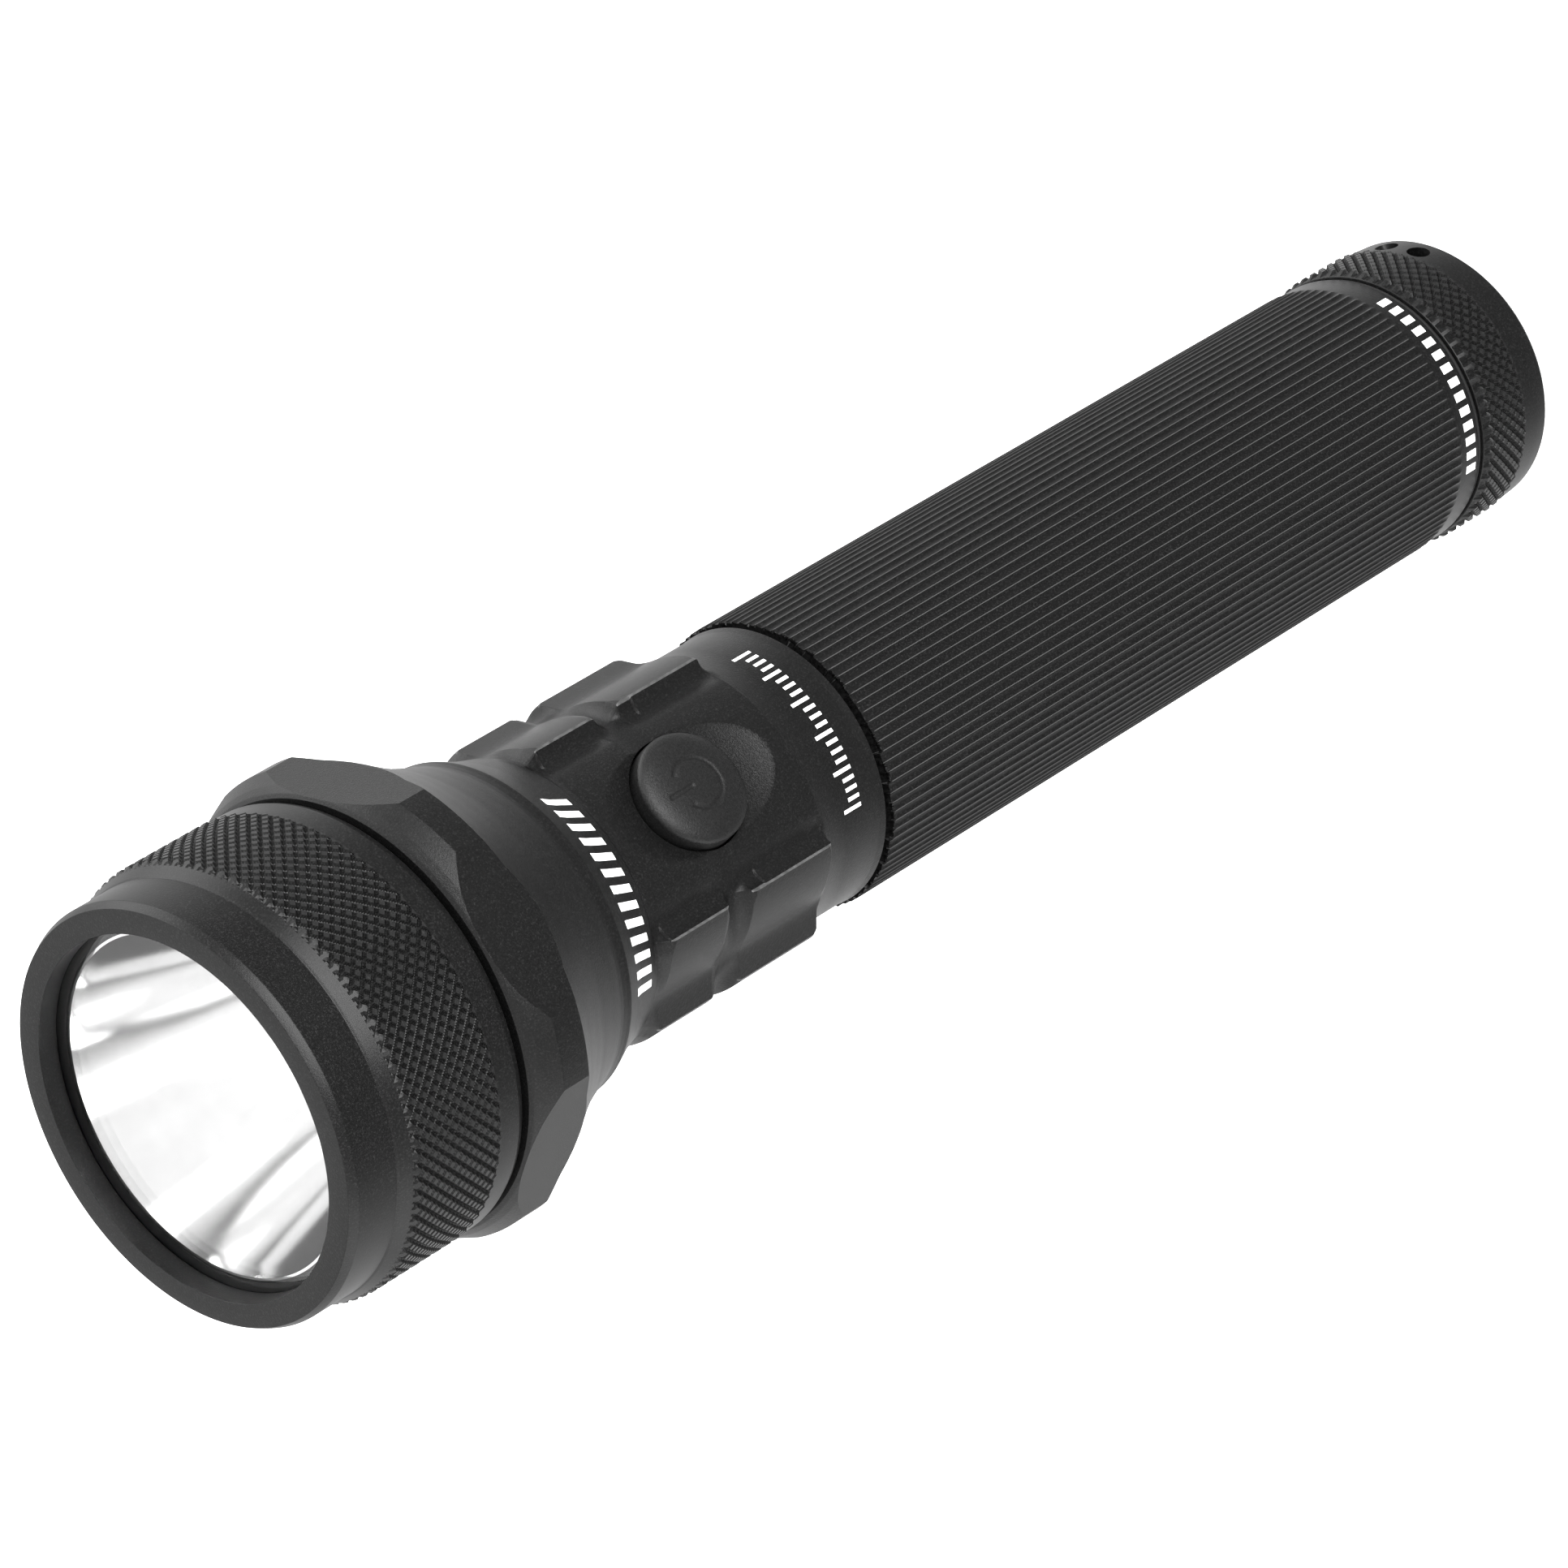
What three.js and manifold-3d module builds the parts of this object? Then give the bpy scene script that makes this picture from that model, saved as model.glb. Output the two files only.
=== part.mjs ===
// Long-barrel tactical flashlight for two D cells, standing on its tail.
// Millimetres, +Z up the torch axis from the tail face to the lens, origin at the tail face's centre.
// The push button faces -Y.  Angles round the body are measured from the button.
import * as THREE from "three";
import { mergeVertices } from "three/addons/utils/BufferGeometryUtils.js";
import Module from "manifold-3d";

const wasm = await Module();
wasm.setup();

// ---- driving dimensions -------------------------------------------------------------------
const GAP = 0.3; // clearance between neighbouring pieces
const ROUND = 48; // facets round the large turned parts
const SMALL = 24; // facets round the small turned parts

const LENGTH = 243;
const BARREL_R = 19.6;
const CELL_R = 16.6;
const CELL_BODY = 60;
const CELL_LENGTH = 61.5;
const TUBE_BORE_R = 17;
const MODULE_BORE_R = 15.5;
const THREAD_R = 25.7; // head spigot that the face cap screws on to
const TAIL_THREAD_R = 18.3; // tube spigot that the tail cap screws on to

const CAP_FOOT = 214.9; // rear edge of the face cap
const LIP_Z = 240; // underside of the face cap's front lip
const WINDOW_R = 23.8; // clear opening in the face cap
const KNURL_R = 28.9;

const HEX_FACE = 28.9; // axis to each anti-roll flat
const HEX_CORNER_R = 31;
const HEX_TURN = -9.7; // first flat's angle from the button, in degrees
const SHOULDER_Z = 213;
const SPIGOT_TOP_Z = 233.6;

const BAND_Z = 182.5; // front end of the switch section
const SECTION_END_Z = 150.6;
const SECTION_R = 19.7;
const PAD_ROWS = [
  { top: 182.5, foot: 168.5 },
  { top: 164.2, foot: 150.6 },
];
const PAD_RAMP = 3.2; // length of each pad's sloping front end
const PAD_R = 21.5;
const PAD_VALLEY_R = 20.1;
const FIRST_RIDGE = 43; // angle from the button to the first ridge
const RIDGE_PITCH = 38;
const RIDGE_RUN = 28; // from a ridge back down to the valley behind it

const BUTTON_Z = 166.9;
const BUTTON_R = 7.5;
const BUTTON_TRAVEL = 1.5;
const BUTTON_CROWN = 21.4; // axis to the top of the dome
const DISH_R = 38.3; // spherical scoop round the button
const DISH_DEPTH = 2.52;

const LENS_R = 25.6;
const LENS_THICKNESS = 1.3;
const VERTEX_Z = 196.5; // the reflector is a paraboloid with its vertex here
const MIRROR_R = 22.2; // radius at the reflector's mouth
const MIRROR_FOOT_Z = 198.6;
const MIRROR_WALL = 1.5;
const LENS_TOP_Z = LIP_Z - GAP;
const LENS_FOOT_Z = LENS_TOP_Z - LENS_THICKNESS;
const MOUTH_Z = LENS_FOOT_Z - GAP;
const FLANGE_TOP_Z = MOUTH_Z - 1.2;
const FLANGE_FOOT_Z = FLANGE_TOP_Z - 0.9;
const FOCAL = MIRROR_R ** 2 / (4 * (MOUTH_Z - VERTEX_Z));

const NECK_END_Z = 138.5;
const TUBE_TOP_Z = NECK_END_Z - GAP;
const TUBE_END_Z = 15.4;
const TAIL_CAP_TOP = 14.6;
const TAIL_FLOOR = 7;
const CELL_FOOT = 15;
const LANYARD_R = 1.5;
const LANYARD_Z = 3.5;
const LANYARD_ANGLES = [39.4, 60.2];

// ---- helpers ------------------------------------------------------------------------------
const radians = (degrees) => (degrees * Math.PI) / 180;

// Point at an angle from the button, counter-clockwise seen from the lens.
function around(angle, radius) {
  const a = radians(angle - 90);
  return new THREE.Vector2(radius * Math.cos(a), radius * Math.sin(a));
}

// Turned solid about +Z from [radius, z] pairs, listed counter-clockwise.
function turned(outline, facets = ROUND) {
  const points = outline.map(([r, z]) => new THREE.Vector2(r, z));
  const last = outline[outline.length - 1];
  if (outline[0][0] > 0 || last[0] > 0) {
    points.push(points[0].clone());
  }
  return new THREE.LatheGeometry(points, facets).rotateX(Math.PI / 2);
}

function disc(radius, foot, top, facets = ROUND) {
  return turned([[0, foot], [radius, foot], [radius, top], [0, top]], facets);
}

function ring(inner, outer, foot, top, facets = ROUND) {
  return turned([[inner, foot], [outer, foot], [outer, top], [inner, top]], facets);
}

// Rod between two points.
function rod(from, to, radius, facets = SMALL) {
  const axis = new THREE.Vector3().subVectors(to, from);
  const shape = new THREE.CylinderGeometry(radius, radius, axis.length(), facets);
  const turn = new THREE.Quaternion();
  turn.setFromUnitVectors(new THREE.Vector3(0, 1, 0), axis.clone().normalize());
  shape.applyQuaternion(turn);
  const middle = new THREE.Vector3().addVectors(from, to).multiplyScalar(0.5);
  return shape.translate(middle.x, middle.y, middle.z);
}

function block(x, y, z) {
  const shape = new THREE.BoxGeometry(x[1] - x[0], y[1] - y[0], z[1] - z[0]);
  return shape.translate((x[0] + x[1]) / 2, (y[0] + y[1]) / 2, (z[0] + z[1]) / 2);
}

// O-ring: a torus about +Z.
function oRing(radius, thickness, z) {
  return new THREE.TorusGeometry(radius, thickness, 6, 36).translate(0, 0, z);
}

function solid(geometry) {
  const bare = new THREE.BufferGeometry();
  bare.setAttribute("position", geometry.getAttribute("position"));
  if (geometry.index) {
    bare.setIndex(geometry.index);
  }
  const merged = mergeVertices(bare, 1e-4);
  const corners = [];
  for (let i = 0; i < merged.index.count; i += 3) {
    const [a, b, c] = [0, 1, 2].map((k) => merged.index.getX(i + k));
    if (a !== b && b !== c && a !== c) {
      corners.push(a, b, c);
    }
  }
  const vertProperties = new Float32Array(merged.getAttribute("position").array);
  const triVerts = new Uint32Array(corners);
  return new wasm.Manifold(new wasm.Mesh({ numProp: 3, vertProperties, triVerts }));
}

function shapeOf(manifold) {
  const mesh = manifold.getMesh();
  const geometry = new THREE.BufferGeometry();
  geometry.setAttribute("position", new THREE.BufferAttribute(mesh.vertProperties, 3));
  geometry.setIndex(new THREE.BufferAttribute(mesh.triVerts, 1));
  geometry.computeVertexNormals();
  return geometry;
}

function cut(geometry, ...cutters) {
  const left = cutters.reduce((rest, cutter) => rest.subtract(solid(cutter)), solid(geometry));
  return shapeOf(left);
}

// ---- finishes -----------------------------------------------------------------------------
function finish(color, roughness, metalness) {
  return () => new THREE.MeshStandardMaterial({ color, roughness, metalness });
}

const anodised = finish(0x1b1b1d, 0.5, 0.85);
const rubber = finish(0x111111, 0.85, 0);
const mirror = finish(0xf2f2f2, 0.05, 1);
const clear = finish(0xe8f0f2, 0.05, 0);
const bareAluminium = finish(0xa8aaad, 0.45, 1);
const brass = finish(0xc8a24a, 0.35, 1);
const steel = finish(0x9a9c9f, 0.35, 1);
const board = finish(0x1f5a34, 0.55, 0);
const whiteBoard = finish(0xe4e4e0, 0.5, 0);
const phosphor = finish(0xe9c93a, 0.4, 0);
const plastic = finish(0x202022, 0.65, 0);
const jacket = finish(0x2f3a46, 0.4, 0.3);
const redWire = finish(0xa51c1c, 0.5, 0);
const blackWire = finish(0x141414, 0.5, 0);

const flashlight = new THREE.Group();

function add(name, geometry, material) {
  const mesh = new THREE.Mesh(geometry, material());
  mesh.name = name;
  flashlight.add(mesh);
  return mesh;
}

// ---- head and switch housing --------------------------------------------------------------
function housingBlank() {
  return turned([
    [TUBE_BORE_R, 131],
    [18.1, 131],
    [18.1, NECK_END_Z],
    [19.2, NECK_END_Z],
    [19, 141.5],
    [19, 146],
    [19.4, 149],
    [SECTION_R, SECTION_END_Z],
    [SECTION_R, 181.3],
    [20.1, BAND_Z],
    [21.3, 186.3],
    [22.8, 189.8],
    [22.9, 191.2],
    [23.4, 192.4],
    [24, 194.4],
    [25.1, 197.1],
    [26.5, 199.8],
    [28.2, 202.5],
    [29.7, 205.2],
    [HEX_CORNER_R, 206],
    [HEX_CORNER_R, 210.5],
    [29.7, 212.8],
    [29.4, SHOULDER_Z],
    [24.8, SHOULDER_Z],
    [24.8, 215],
    [THREAD_R, 215],
    [THREAD_R, SPIGOT_TOP_Z],
    [23.4, SPIGOT_TOP_Z],
    [23.4, 226],
    [17.5, 200],
    [17.5, 186],
    [MODULE_BORE_R, 186],
    [MODULE_BORE_R, 147.3],
    [TUBE_BORE_R, 147.3],
  ]);
}

// Six-sided prism that trims the anti-roll flats.
function hexPrism() {
  const across = HEX_FACE / Math.cos(radians(30));
  const corners = [0, 1, 2, 3, 4, 5].map((k) => around(HEX_TURN + 30 + 60 * k, across));
  const shape = new THREE.ExtrudeGeometry(new THREE.Shape(corners), {
    depth: LENGTH,
    bevelEnabled: false,
  });
  return shape;
}

// Cross-section of the grip pads: sharp ridges with a flat running down behind each one.
function padSection() {
  const half = [[34, 19.4]];
  for (let ridge = FIRST_RIDGE; ridge < 180; ridge += RIDGE_PITCH) {
    half.push([ridge, PAD_R]);
    if (ridge + RIDGE_RUN < 180) {
      half.push([ridge + RIDGE_RUN, PAD_VALLEY_R]);
    }
  }
  const right = half.map(([angle, radius]) => around(angle, radius));
  const left = half.map(([angle, radius]) => around(-angle, radius)).reverse();
  const front = [-20, -7, 7, 20].map((angle) => around(angle, 19.4));
  return new THREE.Shape([...right, ...left, ...front]);
}

// One row of pads, its front ends sloping up from the band in front of them.
function padRow({ top, foot }) {
  const hole = new THREE.Path().absarc(0, 0, 17.5, 0, 2 * Math.PI, true);
  const section = padSection();
  section.holes.push(hole);
  const bar = new THREE.ExtrudeGeometry(section, {
    depth: top - foot,
    bevelEnabled: false,
    curveSegments: 32,
  }).translate(0, 0, foot);
  const envelope = turned([
    [0, foot - 1],
    [PAD_R + 1, foot - 1],
    [PAD_R + 0.1, top - PAD_RAMP],
    [20.3, top],
    [20.2, top + 1],
    [0, top + 1],
  ]);
  return solid(bar).intersect(solid(envelope));
}

// Shallow spherical scoop that the button sits in.
function dishCutter() {
  const centre = SECTION_R - DISH_DEPTH + DISH_R;
  const rim = 16;
  const steps = 6;
  const outline = [];
  for (let k = 0; k <= steps; k++) {
    const r = (rim * k) / steps;
    outline.push([r, centre - Math.sqrt(DISH_R ** 2 - r ** 2)]);
  }
  outline.push([rim, 24], [0, 24]);
  return turned(outline, 32).rotateX(Math.PI / 2).translate(0, 0, BUTTON_Z);
}

function neckHousing() {
  const bore = new THREE.Vector3(0, -6, BUTTON_Z);
  const outside = new THREE.Vector3(0, -30, BUTTON_Z);
  let body = solid(housingBlank());
  for (const row of PAD_ROWS) {
    body = body.add(padRow(row));
  }
  body = body.intersect(solid(hexPrism()));
  body = body.subtract(solid(dishCutter()));
  body = body.subtract(solid(rod(bore, outside, BUTTON_R + GAP, 32)));
  return shapeOf(body);
}

add("neck_housing", neckHousing(), anodised);
add("face_cap_oring", oRing(25.75, 0.65, 214), rubber);

// ---- light engine -------------------------------------------------------------------------
const SCREW_X = 11.8;
const WIRE_X = 3;
const WIRE_Y = 11;
const SINK_TOP = 196.5;
const LED_BOARD_TOP = 198.2;

function wireHole(x) {
  const low = new THREE.Vector3(x, WIRE_Y, 180);
  const high = new THREE.Vector3(x, WIRE_Y, 205);
  return rod(low, high, 1.1, 16);
}

function screwHole(x, radius) {
  const low = new THREE.Vector3(x, 0, 189.5);
  const high = new THREE.Vector3(x, 0, 205);
  return rod(low, high, radius, 16);
}

const wireHoles = [wireHole(-WIRE_X), wireHole(WIRE_X)];
const sinkBlank = turned([
  [0, 186.3],
  [17.2, 186.3],
  [17.2, 188.5],
  [14.6, 189],
  [14.6, 191],
  [17.2, 191.5],
  [17.2, SINK_TOP],
  [0, SINK_TOP],
], 36);
const sinkTaps = [screwHole(-SCREW_X, 1.55), screwHole(SCREW_X, 1.55)];
add("heat_sink", cut(sinkBlank, ...wireHoles, ...sinkTaps), bareAluminium);

const boardBlank = disc(14.3, SINK_TOP + GAP, LED_BOARD_TOP, 48);
const boardHoles = [screwHole(-SCREW_X, 1.6), screwHole(SCREW_X, 1.6)];
add("led_board", cut(boardBlank, ...wireHoles, ...boardHoles), whiteBoard);

const EMITTER_FOOT = LED_BOARD_TOP + GAP;
function emitterOutline() {
  const outline = [[0, EMITTER_FOOT], [3.4, EMITTER_FOOT], [3.4, EMITTER_FOOT + 0.7]];
  for (let k = 0; k <= 5; k++) {
    const a = radians(18 * k);
    outline.push([2.4 * Math.cos(a), EMITTER_FOOT + 0.7 + 2.4 * Math.sin(a)]);
  }
  outline[outline.length - 1][0] = 0;
  return outline;
}
add("led_emitter", turned(emitterOutline(), SMALL), phosphor);

function panScrew(x) {
  const head = LED_BOARD_TOP + GAP;
  const outline = [
    [0, 190],
    [1.25, 190],
    [1.25, head],
    [2.3, head],
    [2.3, head + 0.9],
    [1.7, head + 1.5],
    [0, head + 1.6],
  ];
  return turned(outline, 16).translate(x, 0, 0);
}
add("board_screw_1", panScrew(-SCREW_X), steel);
add("board_screw_2", panScrew(SCREW_X), steel);

// ---- switch module and driver -------------------------------------------------------------
const DRIVER_FOOT = 147.6;
const DRIVER_TOP = 149.2;

function wire(x) {
  const low = new THREE.Vector3(x, WIRE_Y, DRIVER_TOP + GAP);
  const high = new THREE.Vector3(x, WIRE_Y, LED_BOARD_TOP + 1.2);
  return rod(low, high, 0.7, 10);
}
add("positive_wire", wire(-WIRE_X), redWire);
add("negative_wire", wire(WIRE_X), blackWire);

function switchCarrier() {
  const pocketFloor = new THREE.Vector3(0, -7, BUTTON_Z);
  const pocketMouth = new THREE.Vector3(0, -20, BUTTON_Z);
  const pocket = rod(pocketFloor, pocketMouth, 8.9, 32);
  const boardBay = block([-8.6, 8.6], [-7.3, 1.6], [BUTTON_Z - 11.8, BUTTON_Z + 11.8]);
  const wireSlot = block([-5, 5], [9.5, 17], [150, 190]);
  return cut(disc(15.2, 156, 183, 48), pocket, boardBay, wireSlot);
}
add("switch_carrier", switchCarrier(), plastic);
add("switch_board", block([-8.2, 8.2], [-0.3, 1.3], [BUTTON_Z - 9.5, BUTTON_Z + 11.4]), board);
add("switch_body", block([-6, 6], [-5.6, -0.6], [BUTTON_Z - 6, BUTTON_Z + 6]), plastic);
add("driver_board", disc(15.2, DRIVER_FOOT, DRIVER_TOP, 48), board);

const coil = ring(1.8, 4.6, DRIVER_TOP + GAP, DRIVER_TOP + 5.2, SMALL);
add("driver_inductor", coil.translate(-5, -5, 0), plastic);

add("contact_insulator", ring(4.2, 16.7, 139.4, 146.9, 48), plastic);
const contactOutline = [[0, 138.6], [3, 138.6], [3.8, 139.4], [3.8, 147.3], [0, 147.3]];
add("front_contact", turned(contactOutline, SMALL), brass);

// ---- push button --------------------------------------------------------------------------
function buttonCap() {
  const shoulder = 19.6;
  const outline = [
    [0, 11.4],
    [8.4, 11.4],
    [8.4, 12.6],
    [BUTTON_R, 12.6],
    [BUTTON_R, shoulder],
    [7.1, 20.3],
    [5, 21],
    [2.5, 21.3],
    [0, BUTTON_CROWN],
  ];
  return turned(outline, 32).rotateX(Math.PI / 2).translate(0, 0, BUTTON_Z);
}
add("button_cap", buttonCap(), rubber);

const SWITCH_TOP = 5.6; // axis to the switch's pressing face
const plungerTip = new THREE.Vector3(0, -(SWITCH_TOP + GAP + BUTTON_TRAVEL), BUTTON_Z);
const plungerTop = new THREE.Vector3(0, -11.1, BUTTON_Z);
add("button_plunger", rod(plungerTip, plungerTop, 2.5, 20), plastic);

// ---- optics -------------------------------------------------------------------------------
function paraboloid(z) {
  return Math.sqrt(4 * FOCAL * (z - VERTEX_Z));
}

function reflector() {
  const steps = 8;
  const outside = [];
  const inside = [];
  for (let k = 0; k <= steps; k++) {
    const share = (k / steps) ** 2;
    const high = MIRROR_FOOT_Z + (FLANGE_FOOT_Z - MIRROR_FOOT_Z) * share;
    const low = MIRROR_FOOT_Z + (MOUTH_Z - MIRROR_FOOT_Z) * share;
    outside.push([paraboloid(high) + MIRROR_WALL, high]);
    inside.unshift([paraboloid(low), low]);
  }
  const flange = [[25.4, FLANGE_FOOT_Z], [25.4, FLANGE_TOP_Z]];
  const rim = [[MIRROR_R + 0.5, FLANGE_TOP_Z], [MIRROR_R + 0.5, MOUTH_Z]];
  return turned([...outside, ...flange, ...rim, ...inside], 36);
}
add("reflector", reflector(), mirror);
add("reflector_gasket", ring(23.7, 25.4, SPIGOT_TOP_Z + GAP, FLANGE_FOOT_Z - GAP), rubber);

const LENS_EDGE = 0.3; // chamfer round both faces
add("lens", turned([
  [0, LENS_FOOT_Z],
  [LENS_R - LENS_EDGE, LENS_FOOT_Z],
  [LENS_R, LENS_FOOT_Z + LENS_EDGE],
  [LENS_R, LENS_TOP_Z - LENS_EDGE],
  [LENS_R - LENS_EDGE, LENS_TOP_Z],
  [0, LENS_TOP_Z],
]), clear);
add("lens_gasket", ring(23.1, LENS_R, FLANGE_TOP_Z + GAP, LENS_FOOT_Z - GAP), rubber);

// ---- face cap -----------------------------------------------------------------------------
add("face_cap", turned([
  [26, CAP_FOOT],
  [28.2, CAP_FOOT],
  [28.7, 216],
  [28.7, 219.1],
  [KNURL_R, 219.3],
  [KNURL_R, 232.7],
  [27.8, 235.2],
  [27.6, 235.4],
  [27.6, 241.8],
  [27, LENGTH],
  [WINDOW_R, LENGTH],
  [WINDOW_R, LIP_Z],
  [26, LIP_Z],
]), anodised);

// ---- battery tube and cells ---------------------------------------------------------------
add("battery_tube", turned([
  [TUBE_BORE_R, 7.5],
  [TAIL_THREAD_R, 7.5],
  [TAIL_THREAD_R, TUBE_END_Z],
  [19.2, TUBE_END_Z],
  [19.4, 15.7],
  [19.4, 19.4],
  [BARREL_R, 20.2],
  [BARREL_R, 137.6],
  [19.3, TUBE_TOP_Z],
  [18.4, TUBE_TOP_Z],
  [18.4, 130.7],
  [TUBE_BORE_R, 130.7],
]), anodised);
add("tail_cap_oring", oRing(18.82, 0.3, 15), rubber);

function cell(foot) {
  const top = foot + CELL_BODY;
  return turned([
    [0, foot],
    [15.8, foot],
    [CELL_R, foot + 0.8],
    [CELL_R, top - 0.8],
    [15.8, top],
    [4.9, top],
    [4.5, foot + CELL_LENGTH],
    [0, foot + CELL_LENGTH],
  ], 36);
}
add("rear_cell", cell(CELL_FOOT), jacket);
add("front_cell", cell(CELL_FOOT + CELL_LENGTH + GAP), jacket);

// ---- tail cap -----------------------------------------------------------------------------
// Two radial drillings that meet under the rim, for a wrist lanyard.
function lanyardDrilling(angle) {
  const outer = around(angle, 22);
  const meeting = around((LANYARD_ANGLES[0] + LANYARD_ANGLES[1]) / 2, 14.5);
  const from = new THREE.Vector3(outer.x, outer.y, LANYARD_Z);
  const to = new THREE.Vector3(meeting.x, meeting.y, LANYARD_Z);
  return rod(from, to, LANYARD_R, 16);
}

const tailBlank = turned([
  [0, 0],
  [19, 0],
  [19.5, 0.8],
  [19.7, 5.4],
  [20, 5.7],
  [20, 13.5],
  [19.5, TAIL_CAP_TOP],
  [18.6, TAIL_CAP_TOP],
  [18.6, TAIL_FLOOR],
  [0, TAIL_FLOOR],
]);
add("tail_cap", cut(tailBlank, ...LANYARD_ANGLES.map(lanyardDrilling)), anodised);
add("spring_plate", disc(9, TAIL_FLOOR + GAP, 8.1, 32), brass);

// Conical contact spring, widest at the plate.
class SpringLine extends THREE.Curve {
  getPoint(t) {
    const a = 2 * Math.PI * 3.5 * t;
    const r = 8 - 3 * t;
    return new THREE.Vector3(r * Math.cos(a), r * Math.sin(a), 8.95 + 5.2 * t);
  }
}
const wireSection = new THREE.Shape().absarc(0, 0, 0.5, 0, 2 * Math.PI);
add("tail_spring", new THREE.ExtrudeGeometry(wireSection, {
  steps: 56,
  curveSegments: 3,
  extrudePath: new SpringLine(),
}), steel);

export default flashlight;
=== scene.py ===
# Looks for the long-barrel tactical flashlight: detailed shells, materials, light and camera.
import math

import bmesh
import bpy
import numpy as np
from mathutils import Matrix, Vector


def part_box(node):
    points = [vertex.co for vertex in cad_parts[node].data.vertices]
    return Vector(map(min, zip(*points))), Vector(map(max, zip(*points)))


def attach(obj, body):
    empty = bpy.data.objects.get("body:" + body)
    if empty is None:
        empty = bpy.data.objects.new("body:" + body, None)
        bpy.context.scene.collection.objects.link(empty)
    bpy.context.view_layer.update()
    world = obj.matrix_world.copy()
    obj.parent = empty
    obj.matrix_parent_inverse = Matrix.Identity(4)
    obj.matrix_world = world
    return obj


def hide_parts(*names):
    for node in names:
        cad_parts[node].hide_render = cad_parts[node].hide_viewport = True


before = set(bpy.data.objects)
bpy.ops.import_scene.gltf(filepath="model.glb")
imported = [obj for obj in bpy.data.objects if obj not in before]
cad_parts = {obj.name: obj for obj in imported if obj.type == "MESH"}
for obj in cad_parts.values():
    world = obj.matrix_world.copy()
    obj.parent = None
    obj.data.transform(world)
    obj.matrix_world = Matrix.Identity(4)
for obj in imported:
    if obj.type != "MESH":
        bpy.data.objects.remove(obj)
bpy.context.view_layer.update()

MM = 0.001
TURN = 2 * math.pi

# ---- heights and radii read from the frame, in millimetres ------------------------------------
def low(node):
    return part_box(node)[0] / MM


def high(node):
    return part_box(node)[1] / MM


LENGTH = high("face_cap").z
CAP_FOOT = low("face_cap").z
TUBE_TOP = high("battery_tube").z
TUBE_FOOT = low("battery_tube").z
TAIL_TOP = high("tail_cap").z
LENS_FOOT, LENS_TOP = low("lens").z, high("lens").z
BUTTON_Z = (low("button_cap").z + high("button_cap").z) / 2
BUTTON_CROWN = -low("button_cap").y
BUTTON_FOOT = -high("button_cap").y
MIRROR_FOOT = low("reflector").z
LIP_Z = LENGTH - 3  # underside of the lip that holds the lens
LED_FOOT = low("led_emitter").z

# ---- shape constants, in millimetres and degrees ------------------------------------------------
COLUMNS = 720  # round the switch housing
COLUMNS_PER_DEGREE = COLUMNS / 360
ROUNDING = 0.12  # of turned corners
KNURL_DEPTH = 0.46
HEAD_CREST = 28.93  # crest radii of the knurling and the ribs
TAIL_CREST = 20.0
RIB_CREST = 19.6
HEX_FACE = 28.9  # axis to each anti-roll flat
HEX_TURN = -9.7  # angle of the first flat from the button
HEX_FLAT_COLUMNS = 42  # columns from a flat's middle to its edge
SECTION_R = 19.7
# each row of pads: front foot, front edge, power of the front wall, hollow corner, rear edge, rear foot
PAD_ROWS = ((182.5, 180.4, 1.0, 180.3, 169.9, 168.0), (167.7, 165.6, 2.2, 163.1, 151.0, 149.9))
PAD_LIFT = 1.8  # how far the ridges stand off the section
PAD_DROP = 0.35  # how much lower the ridges are at the very ends of a row
PAD_DROP_RUN = 0.9  # length over which they come down
CORNER_RUN = 0.25  # length over which the flank changes to its hollow corner
VALLEY_LIFT = -0.1
FLUTE_DEPTH = 0.35  # hollow beside the first ridge
FLUTE_START, FLUTE_BOTTOM = 30, 36.6  # angles from the button
RIDGES = (41.9, 81, 119, 157)  # angles from the button
RIDGE_RUN = 26.5  # angle from a ridge down to the next valley
RIDGE_EDGE = 0.3  # half the angle of the narrow edge face along each ridge, painted paler as wear and as a highlight
FLANK_POWER = 2.0  # above 1 the flank before a ridge is hollow, and steepest at the ridge
SIDE_FLANK_POWER = 1.5  # the same for the flanks after a valley
DISH_R = 38.3  # radius of the ball that the dish is part of
DISH_DEPTH = 2.52
DISH_FILLET = 0.06
BUTTON_R = 7.5
BUTTON_HOLE_R = 7.8
BUTTON_DOME = 1.95  # drop from the crown to the button's edge
ENGRAVED = 0.16  # depth of the sign in the button's crown
THREAD_PITCH = 1.5
FLOOR_DROP = 9.5  # room under the torch for the tail cap to unscrew
FLOOR_GLOW = 0.6  # the floor is a lit table, so the torch casts hardly any shadow
MIRROR_VERTEX = 196.5  # height of the paraboloid's vertex
MIRROR_R = 22.2
MIRROR_WALL = 1.5
FLANGE_R = 25.4


# ---- mesh helpers ------------------------------------------------------------------------------
def make_object(name, points, faces, sharp=32.0):
    """Mesh object from points in millimetres; edges sharper than the given angle stay crisp."""
    mesh = bpy.data.meshes.new(name)
    mesh.from_pydata((np.asarray(points, float) * MM).tolist(), [], faces)
    mesh.validate()
    mesh.update()
    obj = bpy.data.objects.new(name, mesh)
    bpy.context.scene.collection.objects.link(obj)
    shade(obj, sharp)
    return obj


def shade(obj, sharp):
    """Smooth shading, with a crisp edge wherever two faces meet at more than sharp degrees."""
    mesh = obj.data
    mesh.polygons.foreach_set("use_smooth", [True] * len(mesh.polygons))
    mesh.set_sharp_from_angle(angle=math.radians(sharp))
    mesh.update()


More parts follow.
